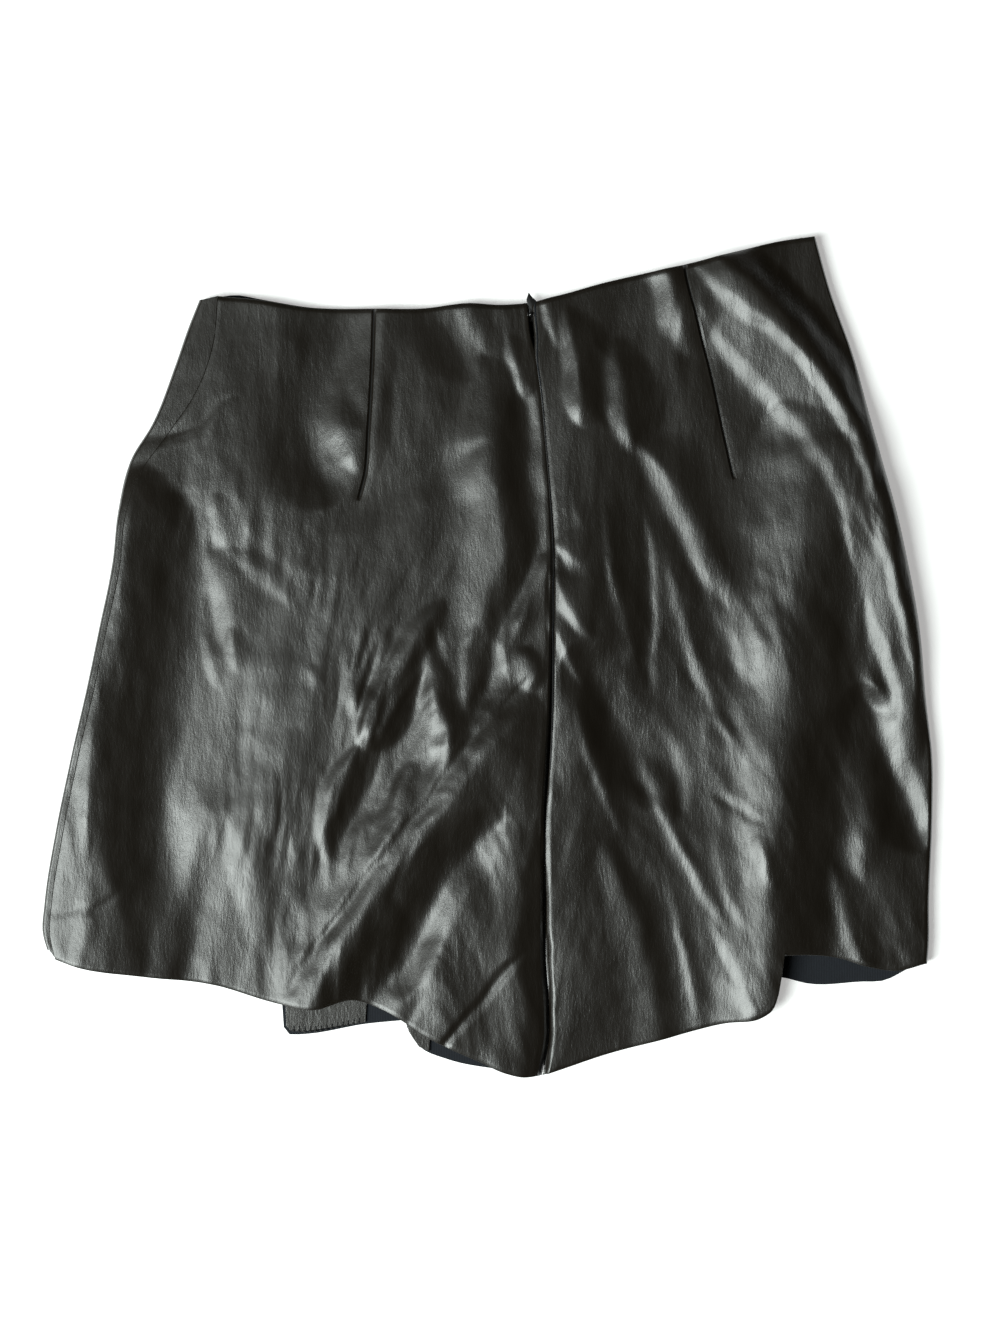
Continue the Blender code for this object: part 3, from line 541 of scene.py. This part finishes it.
def add_node(tree, kind, inputs=None, **settings):
    """A node with its settings and its input values or links."""
    node = tree.nodes.new(kind)
    for key, value in settings.items():
        setattr(node, key, value)
    for key, value in (inputs or {}).items():
        if isinstance(value, bpy.types.NodeSocket):
            tree.links.new(value, node.inputs[key])
        else:
            node.inputs[key].default_value = value
    return node


def object_place(tree):
    return add_node(tree, "ShaderNodeTexCoord").outputs["Object"]


def noise(tree, place, width, **inputs):
    """Noise whose grain is about as wide as the width in millimetres."""
    return add_node(tree, "ShaderNodeTexNoise", {"Vector": place, "Scale": 1 / (width * MM), **inputs})


def bump(tree, height, strength, distance, normal=None, **settings):
    """Relief of a height in millimetres, over the relief of another bump if one is given."""
    inputs = {"Height": height, "Strength": strength, "Distance": distance * MM}
    if normal is not None:
        inputs["Normal"] = normal
    return add_node(tree, "ShaderNodeBump", inputs, **settings).outputs["Normal"]


def mapped(tree, value, source, result):
    """A value carried from one range to another."""
    inputs = {"Value": value}
    inputs["From Min"], inputs["From Max"] = source
    inputs["To Min"], inputs["To Max"] = result
    return add_node(tree, "ShaderNodeMapRange", inputs).outputs["Result"]


def maths(tree, operation, *values):
    return add_node(tree, "ShaderNodeMath", dict(enumerate(values)), operation=operation).outputs[0]


def ramp(tree, value, dark, light):
    """Colour between two sRGB hex colours."""
    tint = add_node(tree, "ShaderNodeValToRGB", {"Fac": value})
    tint.color_ramp.elements[0].color = linear(dark)
    tint.color_ramp.elements[1].color = linear(light)
    return tint.outputs["Color"]


def leather_face():
    """Polyurethane faux leather, embossed and cast on a knit: a near-black satin skin with a drawn grain.

    Stitched darts and the centre seam show in it as thin grooves, bumped in and darkened by painted shade in
    the base colour, where a panel carries their marks.
    """
    made, shader = new_material("cast polyurethane leather face", Roughness=0.36, IOR=1.5, Coat_Weight=0.35,
                                Coat_Roughness=0.28)
    tree = made.node_tree
    place = object_place(tree)
    lengthwise = add_node(tree, "ShaderNodeMapping", {"Vector": place, "Scale": (1.0, 0.3, 1.0)})
    lengthwise = lengthwise.outputs["Vector"]
    pebble_size = {"Vector": place, "Scale": 1 / (0.6 * MM)}
    grain = noise(tree, lengthwise, 1.3, Detail=3.0, Roughness=0.6, Distortion=0.4)
    pebble = add_node(tree, "ShaderNodeTexVoronoi", pebble_size, feature="F1")
    mottle = noise(tree, lengthwise, 16, Detail=5.0, Roughness=0.6).outputs["Fac"]
    creases = noise(tree, lengthwise, 7.5, Detail=2.5, Roughness=0.45, Distortion=0.9)
    creases.noise_type = "RIDGED_MULTIFRACTAL"
    side = add_node(tree, "ShaderNodeAttribute", attribute_name="dart_side").outputs["Fac"]
    hold = add_node(tree, "ShaderNodeAttribute", attribute_name="dart_hold").outputs["Fac"]
    away = maths(tree, "ABSOLUTE", side)
    # Painted shade: the base colour darkens inside the dart and seam grooves, where the roughness also rises.
    shadow = maths(tree, "MULTIPLY", mapped(tree, away, (0.12, 0.55), (1.0, 0.0)), hold)
    valley = maths(tree, "MULTIPLY", mapped(tree, away, (0.0, 1.4), (1.0, 0.0)), hold)

    tint = ramp(tree, mottle, "#0c0905", "#16110b")
    lit = maths(tree, "SUBTRACT", 1.0, shadow)
    colour = add_node(tree, "ShaderNodeVectorMath", {0: tint, "Scale": lit}, operation="SCALE")
    tree.links.new(colour.outputs[0], shader.inputs["Base Color"])
    satin = maths(tree, "MAXIMUM", mapped(tree, mottle, (0.3, 0.7), (0.31, 0.44)), shadow)
    tree.links.new(satin, shader.inputs["Roughness"])
    relief = bump(tree, creases.outputs["Fac"], 0.32, 0.35)
    relief = bump(tree, grain.outputs["Fac"], 0.42, 0.3, relief)
    relief = bump(tree, pebble.outputs["Distance"], 0.18, 0.12, relief)
    relief = bump(tree, valley, 1.0, 1.1, relief, invert=True)
    tree.links.new(relief, shader.inputs["Normal"])
    tree.links.new(relief, shader.inputs["Coat Normal"])
    return made


def knit_backing():
    """Brushed polyester knit on the wrong side: matt blue-black with fine wales."""
    made, shader = new_material("brushed knit backing", Roughness=0.92, IOR=1.45)
    tree = made.node_tree
    place = object_place(tree)
    wale_width = 0.9 * MM
    wales = add_node(tree, "ShaderNodeTexWave", {
        "Vector": place, "Scale": 0.3 / wale_width, "Distortion": 1.2, "Detail": 1.0,
    }, bands_direction="X")
    fuzz = noise(tree, place, 0.8, Detail=2.0)
    tree.links.new(ramp(tree, fuzz.outputs["Fac"], "#0b0d12", "#191e26"), shader.inputs["Base Color"])
    tree.links.new(bump(tree, wales.outputs["Fac"], 0.5, 0.2), shader.inputs["Normal"])
    return made


def cut_edge():
    """The cut edge of the cloth: a thin dark line of skin over grey knit."""
    made, _ = new_material("cut leather edge", Base_Color=linear("#1b1b1c"), Roughness=0.7)
    return made


def woven_tape():
    """Woven polyester zip tape: matt black with a fine herringbone."""
    made, shader = new_material("woven zip tape", Base_Color=linear("#101012"), Roughness=0.88)
    tree = made.node_tree
    thread_width = 0.5 * MM
    weave = add_node(tree, "ShaderNodeTexWave", {
        "Vector": object_place(tree), "Scale": 0.3 / thread_width, "Distortion": 2.0,
    }, bands_direction="DIAGONAL")
    tree.links.new(bump(tree, weave.outputs["Fac"], 0.6, 0.1), shader.inputs["Normal"])
    return made


def enamel():
    """Black enamel on a die-cast slider: smooth, with the soft edge highlights of thick paint."""
    made, shader = new_material("black enamelled die casting", Base_Color=linear("#131314"), Roughness=0.3,
                                IOR=1.52, Coat_Weight=0.4)
    tree = made.node_tree
    dimple = noise(tree, object_place(tree), 0.6)
    tree.links.new(bump(tree, dimple.outputs["Fac"], 0.3, 0.05), shader.inputs["Normal"])
    return made


def spun_thread():
    """Spun polyester sewing thread: matt black."""
    made, _ = new_material("spun sewing thread", Base_Color=linear("#0c0c0e"), Roughness=0.8)
    return made


def nylon_coil():
    """Nylon zip teeth: dark, slightly glossy."""
    made, _ = new_material("nylon zip coil", Base_Color=linear("#0d0d0e"), Roughness=0.45)
    return made


# Making pieces

def finished(name, bm, finishes, rounded=False):
    """An object of a finished bmesh, smooth-shaded where it is rounded."""
    mesh = bpy.data.meshes.new(name)
    bm.to_mesh(mesh)
    bm.free()
    made = bpy.data.objects.new(name, mesh)
    for finish in finishes:
        mesh.materials.append(finish)
    bpy.context.scene.collection.objects.link(made)
    if rounded:
        mesh.shade_smooth()
    return made


def bordered(grid):
    """A grid with one more row or column close inside each border, so that the cut edge stays crisp."""
    for axis in (0, 1):
        lines = np.moveaxis(grid, axis, 0)
        for _ in range(2):
            step = np.linalg.norm(lines[1, :, :3] - lines[0, :, :3], axis=-1)[:, None]
            inside = lines[0] + (lines[1] - lines[0]) * np.minimum(BORDER / np.maximum(step, BORDER), 0.5)
            lines = np.concatenate([lines[:1], inside[None], lines[1:]])[::-1]
        grid = np.moveaxis(lines, 0, axis)
    return grid


def cloth(name, grid, finishes, wall=WALL, marks=None):
    """A cloth panel: a bmesh grid laid on rows of points of its outer face, with a wall and named marks."""
    marks = marks or {}
    points = bordered(np.concatenate([grid] + [values[..., None] for values in marks.values()], axis=-1))
    rows, columns = points.shape[:2]
    bm = bmesh.new()
    bmesh.ops.create_grid(bm, x_segments=columns - 1, y_segments=rows - 1, size=1.0)
    mesh = bpy.data.meshes.new(name)
    bm.to_mesh(mesh)
    bm.free()
    flat = np.empty(len(mesh.vertices) * 3)
    mesh.vertices.foreach_get("co", flat)
    flat = flat.reshape(-1, 3)
    column = np.rint((flat[:, 0] + 1.0) / 2.0 * (columns - 1)).astype(int)
    row = np.rint((1.0 - flat[:, 1]) / 2.0 * (rows - 1)).astype(int)
    mesh.vertices.foreach_set("co", (points[row, column, :3] * MM).ravel())
    for number, title in enumerate(marks):
        mark = mesh.attributes.new(title, "FLOAT", "POINT")
        mark.data.foreach_set("value", points[row, column, 3 + number])
    for finish in finishes:
        mesh.materials.append(finish)
    mesh.update()
    mesh.shade_smooth()
    made = bpy.data.objects.new(name, mesh)
    bpy.context.scene.collection.objects.link(made)
    solidify = made.modifiers.new("Wall", "SOLIDIFY")
    solidify.thickness = wall * MM
    solidify.offset = -1.0
    solidify.material_offset = 1
    solidify.material_offset_rim = 2
    return made


def wear(piece, node, body="skort"):
    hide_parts(node)
    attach(piece, body)


def dart_marks(path, plan):
    """Millimetres east of a dart's line at each point, and 1 along the line falling to 0 past its point."""
    east, distance, _ = path_offset(path, plan.reshape(-1, 2))
    past_point = np.sqrt(np.maximum(distance**2 - east**2, 0.0))
    hold = smooth(1.0 - past_point / 3.0)
    return {"dart_side": east.reshape(plan.shape[:-1]), "dart_hold": hold.reshape(plan.shape[:-1])}


def dart_dip(marks):
    """The shallow trough that the cloth makes to both sides of a dart."""
    near = np.clip(1.0 - np.abs(marks["dart_side"]) / DART_DIP["reach"], 0.0, 1.0)
    return DART_DIP["depth"] * marks["dart_hold"] * near**2


def seam_edge(plan, distance, folded_from_y=-30.0):
    """Drop of a panel's edge along the centre seam: slight above, a turned lip lower down."""
    lip = smooth((folded_from_y - plan[..., 1]) / SEAM_FADE)
    return (0.4 + 0.7 * lip) * np.clip(1.0 - distance / (1.5 + 1.2 * lip), 0.0, 1.0)


def with_seam(marks, distance, hold):
    """Dart marks with the centre seam's groove added along a panel's edge."""
    near = distance < SEAM_GROOVE["reach"]
    return {
        "dart_side": np.where(near, distance * SEAM_GROOVE["share"], marks["dart_side"]),
        "dart_hold": np.where(near, hold, marks["dart_hold"]),
    }


def lower_ends(grid, height):
    """Round a panel's waist and hem down."""
    waist = edge_roll(distance_along(grid, 0, False), *WAIST_ROLL)
    hem = edge_roll(distance_along(grid, 0, True), *HEM_ROLL)
    return height - np.maximum(waist, hem)


def back_left(finishes):
    u = crowded(LEFT_COLUMNS, False, True, 0.35)
    seam = curve(CENTRE_SEAM, ROWS)
    right = shifted(seam, -mouth(seam))
    left = curve(LEFT_SIDE_SEAM, ROWS)
    top = respaced(curve(BACK_LEFT_WAIST, 600), u)
    bottom = respaced(curve(BACK_LEFT_HEM, 600), u)
    top[-1], bottom[-1] = right[0], right[-1]
    plan = patch(top, bottom, left, right, u)
    height = lower_ends(plan, back_height(plan))
    from_seam = distance_along(plan, 1, True)
    height = height - edge_roll(from_seam, *LEFT_SEAM_ROLL)
    height = height - edge_roll(distance_along(plan, 1, False), *LEFT_SIDE_ROLL)
    marks = with_seam(dart_marks(LEFT_DART, plan), from_seam, 1.0)
    return cloth("left_back_panel", with_height(plan, height - dart_dip(marks)), finishes, marks=marks)


def side_turn(edge, height, lower, east):
    """Columns of points round the side of the garment, from the top of the turn to its foot."""
    half_height = (height - lower) / 2
    reach = np.clip(SIDE_TURN["share"] * half_height, SIDE_TURN["least"], SIDE_TURN["most"])
    sign = 1.0 if east else -1.0
    columns = []
    for step in range(TURN_STEPS + 1):
        angle = TURN_START - (TURN_START + math.pi / 2) * step / TURN_STEPS
        outward = (math.cos(angle) - math.cos(TURN_START)) / (1.0 - math.cos(TURN_START))
        x = edge[:, 0] + sign * reach * (outward - 1.0)
        z = lower + half_height * 2.0 * (1.0 + math.sin(angle)) / (1.0 + math.sin(TURN_START))
        columns.append(np.stack([x, edge[:, 1], z], axis=1))
    return np.stack(columns, axis=1), reach


def right_side():
    """The turn at the right side, and the x of its start."""
    edge = curve(RIGHT_OUTLINE, ROWS)
    inset = edge - np.array([SIDE_TURN["most"], 0.0])
    turn, reach = side_turn(edge, back_height(inset), SHORTS_LEVEL, east=True)
    return turn, edge[:, 0] - reach


def back_right(finishes):
    seam = curve(CENTRE_SEAM, ROWS)
    left = shifted(seam, mouth(seam))
    fold_line = curve(DEEP_FOLD_LINE, ROWS)
    turn, shoulder_x = right_side()
    shoulder = np.stack([shoulder_x, turn[:, 0, 1]], axis=1)
    u = crowded(RIGHT_COLUMNS, True, False, 0.4)
    top = respaced(curve(BACK_RIGHT_WAIST, 500), u)
    bottom = respaced(curve(BACK_RIGHT_HEM, 500), u)
    top[0], bottom[0] = left[0], left[-1]
    main = patch(top, bottom, left, fold_line, u)
    side_top = curve(SIDE_WAIST[:-1] + (tuple(shoulder[0]),), SIDE_COLUMNS)
    side_bottom = curve(SIDE_HEM[:-1] + (tuple(shoulder[-1]),), SIDE_COLUMNS)
    side = patch(side_top, side_bottom, fold_line, shoulder)
    plan = np.concatenate([main, side[:, 1:]], axis=1)
    height = back_height(plan)
    turn, _ = side_turn(curve(RIGHT_OUTLINE, ROWS), height[:, -1], SHORTS_LEVEL, east=True)
    turn[:, :, 0] += (shoulder_x - turn[:, 0, 0])[:, None]
    from_seam = distance_along(plan, 1, False)
    height = lower_ends(plan, height) - seam_edge(plan, from_seam)
    grooved = smooth((plan[..., 1] + SEAM_FADE) / SEAM_FADE)
    marks = with_seam(dart_marks(RIGHT_DART, plan), from_seam, grooved)
    height = height - dart_dip(marks)
    turn[:, 0, 2] = height[:, -1]
    under = turn[:, -1:].copy()
    under[..., 0] -= TURN_UNDER
    grid = np.concatenate([with_height(plan[:, :-1], height[:, :-1]), turn, under], axis=1)
    marks = {title: np.pad(values, ((0, 0), (0, grid.shape[1] - plan.shape[1])), mode="edge")
             for title, values in marks.items()}
    return cloth("right_back_panel", grid, finishes, marks=marks)


def front_left(finishes):
    """The left shorts front, which turns up round the left side and meets the back at the side seam."""
    edge = curve(LEFT_OUTLINE, ROWS)
    seam = shifted(curve(LEFT_SIDE_SEAM, ROWS), -SEWN_GAP)
    height = back_height(seam) - SIDE_STEP
    reach = np.clip(0.4 * (seam[:, 0] - edge[:, 0]), 1.2, 2.6)
    turn = []
    for step in range(TURN_STEPS + 1):
        angle = math.pi * (0.5 - step / TURN_STEPS)
        x = edge[:, 0] + reach * (1.0 - math.cos(angle))
        turn.append(np.stack([x, edge[:, 1], height / 2 + height / 2 * math.sin(angle)], axis=1))
    turn = np.stack(turn, axis=1)
    strip = []
    for share in (0.0, 0.15, 0.4, 0.7):
        strip_plan = (1 - share) * seam + share * turn[:, 0, :2]
        strip.append(with_height(strip_plan, height))
    strip = np.stack(strip, axis=1)
    foot = turn[:, -1, :2]
    centre = shifted(curve(FRONT_SEAM, ROWS), -GAP / 2)
    low = curve((WEST_WAIST[-1], WEST_HEM[-1]), ROWS)
    high = curve((EAST_WAIST[0], EAST_HEM[0]), ROWS)
    west_top = curve((tuple(foot[0]),) + WEST_WAIST[1:], WEST_COLUMNS)
    west_bottom = curve((tuple(foot[-1]),) + WEST_HEM[1:], WEST_COLUMNS)
    east_top = curve(EAST_WAIST, EAST_COLUMNS)
    east_bottom = curve(EAST_HEM, EAST_COLUMNS)
    east_top[-1], east_bottom[-1] = centre[0], centre[-1]
    west = patch(west_top, west_bottom, foot, low)
    near_waist = smooth((west[..., 1] - WAIST_RISE["from_y"]) / WAIST_RISE["over"])
    risen = near_waist * smooth(distance_along(west, 1, False) / WAIST_RISE["from_side"])
    west = with_height(west, FLOOR + WAIST_RISE["height"] * risen)
    east = with_height(patch(east_top, east_bottom, high, centre), SHORTS_LEVEL)
    grid = np.concatenate([strip, turn, west[:, 1:], east], axis=1)[::2]
    return cloth("left_shorts_front", grid[:, ::-1], finishes)


def front_right(finishes):
    _, shoulder_x = right_side()
    edge = curve(RIGHT_OUTLINE, ROWS)
    side = np.stack([shoulder_x - TURN_UNDER - GAP, edge[:, 1]], axis=1)
    side = respaced(side, np.linspace(0.006, 0.995, FLAT_ROWS))
    seam = shifted(curve(FRONT_SEAM, FLAT_ROWS), GAP / 2)
    top = curve(FRONT_RIGHT_WAIST[:-1] + (tuple(side[0]),), FLAT_COLUMNS)
    bottom = curve(FRONT_RIGHT_HEM[:-1] + (tuple(side[-1]),), FLAT_COLUMNS)
    top[0], bottom[0] = seam[0], seam[-1]
    plan = patch(top, bottom, seam, side)
    return cloth("right_shorts_front", with_height(plan, SHORTS_LEVEL)[:, ::-1], finishes)


def wrap_panel(finishes):
    _, shoulder_x = right_side()
    edge = curve(RIGHT_OUTLINE, ROWS)
    side = respaced(np.stack([shoulder_x, edge[:, 1]], axis=1), np.linspace(0.006, 0.995, FLAT_ROWS))
    free_edge = curve(WRAP_FREE_EDGE[:2], FLAT_ROWS - 3)
    free_edge = np.concatenate([free_edge, curve(WRAP_FREE_EDGE[1:], 4)[1:]])
    top = curve(WRAP_WAIST[:-1] + (tuple(side[0]),), FLAT_COLUMNS)
    bottom = curve(WRAP_HEM[:-1] + (tuple(side[-1]),), FLAT_COLUMNS)
    plan = patch(top, bottom, free_edge, side)
    return cloth("wrap_panel_cloth", with_height(plan, FLOOR)[:, ::-1], finishes)


def soften(bm, edges, width, segments):
    bmesh.ops.bevel(bm, geom=edges, offset=width * MM, segments=segments, profile=0.5, affect="EDGES",
                    material=-1)


def raised_plate(outline, level, wall, bevel, segments):
    """A bmesh plate with softened edges, cut to an outline."""
    bm = bmesh.new()
    face = bm.faces.new([bm.verts.new((x * MM, y * MM, level * MM)) for x, y in outline])
    raised = bmesh.ops.extrude_face_region(bm, geom=[face])
    top = [item for item in raised["geom"] if isinstance(item, bmesh.types.BMVert)]
    bmesh.ops.translate(bm, verts=top, vec=(0.0, 0.0, wall * MM))
    bmesh.ops.recalc_face_normals(bm, faces=bm.faces[:])
    rim = [edge for edge in bm.edges if edge.calc_face_angle(0.0) > math.radians(40)]
    soften(bm, rim, bevel, segments)
    return bm


def small_plate(name, outline, level, finishes, wall=WALL, bevel=0.25):
    """A small flat piece cut to an outline."""
    return finished(name, raised_plate(outline, level, wall, bevel, 2), finishes)


def point_at(line, length, along):
    """The point of a line at a distance along it."""
    return [float(np.interp(along, length, line[:, axis])) for axis in range(2)]


def zip_tape(finish):
    seam = curve(CENTRE_SEAM, 400)
    length = arc_length(seam)
    line = curve(seam[(length > 2.0) & (length < ZIP_LENGTH)], 60)
    edges = [shifted(line, offset) for offset in (-ZIP_TAPE_WIDTH / 2, ZIP_TAPE_WIDTH / 2)]
    outline = list(edges[0]) + list(edges[1][::-1])
    return small_plate("woven_tape_strip", outline, INNER_LEVEL, [finish], ZIP_TAPE_WALL, 0.2)


def zip_teeth(finish):
    """Coil teeth, turn after turn down the tape, left and right in step."""
    seam = curve(CENTRE_SEAM, 900)
    length = arc_length(seam)
    count = int((ZIP_LENGTH - 18.0) / TOOTH_PITCH)
    top = INNER_LEVEL + ZIP_TAPE_WALL
    bm = bmesh.new()
    for number in range(count):
        along = 14.0 + number * TOOTH_PITCH
        x, y = point_at(seam, length, along)
        side = 0.35 if number % 2 else -0.35
        made = bmesh.ops.create_cube(bm, size=1.0)
        bmesh.ops.scale(bm, verts=made["verts"], vec=(2.6 * MM, 0.62 * MM, 0.7 * MM))
        bmesh.ops.translate(bm, verts=made["verts"], vec=((x + side) * MM, y * MM, (top + 0.4) * MM))
    soften(bm, bm.edges[:], 0.14, 1)
    return finished("zip_coil", bm, [finish], rounded=True)


def overlock(name, path, level, finish, pitch=3.15, depth=3.6):
    """Overlock thread: a slanted loop over the edge at each stitch, and a run along its inner side."""
    line = curve(path, 400)
    length = arc_length(line)
    bm = bmesh.new()
    count = int(length[-1] / pitch)
    for number in range(count):
        along = (number + 0.5) * pitch
        x, y = point_at(line, length, along)
        for reach, thick, lift in ((0.5, 0.95, 0.15), (1.3, 0.48, 0.2)):
            made = bmesh.ops.create_uvsphere(bm, u_segments=8, v_segments=6, radius=thick * MM)
            stretch = (0.8, 1.0 + 1.3 * (thick < 0.5), 0.6)
            bmesh.ops.scale(bm, verts=made["verts"], vec=stretch)
            place = ((x + 0.3 * reach) * MM, (y + reach + 0.9 * (thick < 0.5)) * MM, (level + lift) * MM)
            bmesh.ops.translate(bm, verts=made["verts"], vec=place)
    return finished(name, bm, [finish], rounded=True)


def block(bm, centre, size, bevel=0.0):
    made = bmesh.ops.create_cube(bm, size=1.0)
    bmesh.ops.scale(bm, verts=made["verts"], vec=[side * MM for side in size])
    bmesh.ops.translate(bm, verts=made["verts"], vec=[place * MM for place in centre])
    if bevel:
        edges = list({edge for vert in made["verts"] for edge in vert.link_edges})
        soften(bm, edges, bevel, 3)


def round_bar(bm, centre, radius, length, sides=24):
    """A round bar along X."""
    turn = Matrix.Translation([place * MM for place in centre]) @ Matrix.Rotation(math.pi / 2, 4, "Y")
    bmesh.ops.create_cone(bm, cap_ends=True, segments=sides, radius1=radius * MM, radius2=radius * MM,
                          depth=length * MM, matrix=turn)


def zip_slider(finish):
    bottom = INNER_LEVEL + ZIP_TAPE_WALL + GAP
    middle_y = SLIDER["top_y"] - SLIDER["length"] / 2
    top = bottom + SLIDER["height"]
    lug_height = PIVOT["z"] + LUG["rise"] - top + 0.4
    bm = bmesh.new()
    block(bm, (PIVOT["x"], middle_y, bottom + SLIDER["height"] / 2),
          (SLIDER["width"], SLIDER["length"], SLIDER["height"]), 0.55)
    for side in (-1, 1):
        x = PIVOT["x"] + side * (LUG["gap"] + LUG["width"]) / 2
        block(bm, (x, PIVOT["y"], top - 0.4 + lug_height / 2), (LUG["width"], LUG["length"], lug_height), 0.2)
    round_bar(bm, (PIVOT["x"], PIVOT["y"], PIVOT["z"]), PIVOT["bar"] / 2, LUG["gap"] + LUG["width"])
    return finished("slider_casting", bm, [finish], rounded=True)


def zip_pull_tab(finish):
    """Leaf-shaped tab with softened edges and an eye round the slider's bar."""
    outline = [(-0.9, 0.9), (0.9, 0.9)] + list(curve(TAB_RIGHT_EDGE, 26)) + list(curve(TAB_LEFT_EDGE, 16))
    placed = [(x + PIVOT["x"], y + PIVOT["y"]) for x, y in outline]
    bm = raised_plate(placed, PIVOT["z"] - TAB["wall"] / 2, TAB["wall"], 0.22, 3)
    eye = []
    turn = Matrix.Translation([PIVOT[axis] * MM for axis in "xyz"])
    for radius, x in ((TAB["eye"] / 2, -1), (TAB["eye"] / 2, 1), (PIVOT["bar"] / 2 + PIVOT["clearance"], 1),
                      (PIVOT["bar"] / 2 + PIVOT["clearance"], -1)):
        ring = bmesh.ops.create_circle(bm, segments=28, radius=radius * MM,
                                       matrix=turn @ Matrix.Translation((x * 0.98 * MM, 0, 0))
                                       @ Matrix.Rotation(math.pi / 2, 4, "Y"))
        eye.append(list({edge for vert in ring["verts"] for edge in vert.link_edges}))
    walls = []
    for number in range(4):
        joined = bmesh.ops.bridge_loops(bm, edges=eye[number] + eye[(number + 1) % 4])
        walls += joined["faces"]
    bmesh.ops.recalc_face_normals(bm, faces=walls)
    return finished("pull_tab_casting", bm, [finish], rounded=True)


def studio():
    """Pale floor, two soft window-like lights from the lower left, a dim warm room, and the camera above."""
    bm = bmesh.new()
    bmesh.ops.create_grid(bm, x_segments=1, y_segments=1, size=3.0)
    bmesh.ops.translate(bm, verts=bm.verts[:], vec=(0.0, 0.0, -0.0003))
    paper, _ = new_material("softly lit white panel", Base_Color=(0.9, 0.9, 0.9, 1.0), Roughness=0.95,
                            Emission_Color=(1.0, 1.0, 1.0, 1.0), Emission_Strength=0.4)
    floor = finished("floor", bm, [paper])

    def area_light(name, place, size, power, colour):
        data = bpy.data.lights.new(name, "AREA")
        data.shape = "RECTANGLE"
        data.size, data.size_y = size
        data.energy = power
        data.color = colour
        lamp = bpy.data.objects.new(name, data)
        lamp.location = place
        lamp.rotation_euler = (-Vector(place)).to_track_quat("-Z", "Y").to_euler()
        bpy.context.scene.collection.objects.link(lamp)

    area_light("window", (-1.68, -0.78, 2.4), (1.28, 2.0), 134.0, (0.93, 1.0, 0.97))
    area_light("low window", (-2.4, -1.12, 1.36), (0.8, 1.6), 26.0, (0.93, 1.0, 0.97))
    world = bpy.data.worlds.new("room")
    world.use_nodes = True
    world.node_tree.nodes["Background"].inputs["Color"].default_value = (1.0, 0.86, 0.66, 1.0)
    world.node_tree.nodes["Background"].inputs["Strength"].default_value = 0.045
    bpy.context.scene.world = world
    camera = bpy.data.cameras.new("camera")
    camera.lens = 85.0
    camera.sensor_width = 36.0
    camera.sensor_fit = "AUTO"
    eye = bpy.data.objects.new("camera", camera)
    frame_height = 761.7 * MM
    eye.location = (6.9 * MM, -5.4 * MM, frame_height * camera.lens / camera.sensor_width + 0.006)
    bpy.context.scene.collection.objects.link(eye)
    bpy.context.scene.camera = eye
    bpy.context.scene.view_settings.view_transform = "Standard"


def build():
    leather = leather_face()
    backing = knit_backing()
    edge = cut_edge()
    panel = [leather, backing, edge]
    thread = spun_thread()

    left = back_left(panel)
    wear(left, "back_left")
    right = back_right(panel)
    wear(right, "back_right")
    front = front_left(panel)
    wear(front, "front_left")
    other_front = front_right(panel)
    wear(other_front, "front_right")
    wrap = wrap_panel(panel)
    wear(wrap, "wrap_panel")
    facing = small_plate("wrap_facing_strip", WRAP_FACING, SHORTS_LEVEL, [leather])
    wear(facing, "wrap_facing")
    turn_up = small_plate("leg_turn_up_band", LEG_TURN_UP, INNER_LEVEL, [leather])
    wear(turn_up, "leg_turn_up")
    stitches = overlock("facing_overlock", WRAP_FACING[2:5], SHORTS_LEVEL + WALL, thread)
    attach(stitches, "skort")
    tape = zip_tape(woven_tape())
    wear(tape, "zip_tape")
    teeth = zip_teeth(nylon_coil())
    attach(teeth, "skort")
    slider = zip_slider(enamel())
    wear(slider, "zip_slider")
    tab = zip_pull_tab(enamel())
    wear(tab, "zip_pull_tab", "pull_tab")

    studio()


build()
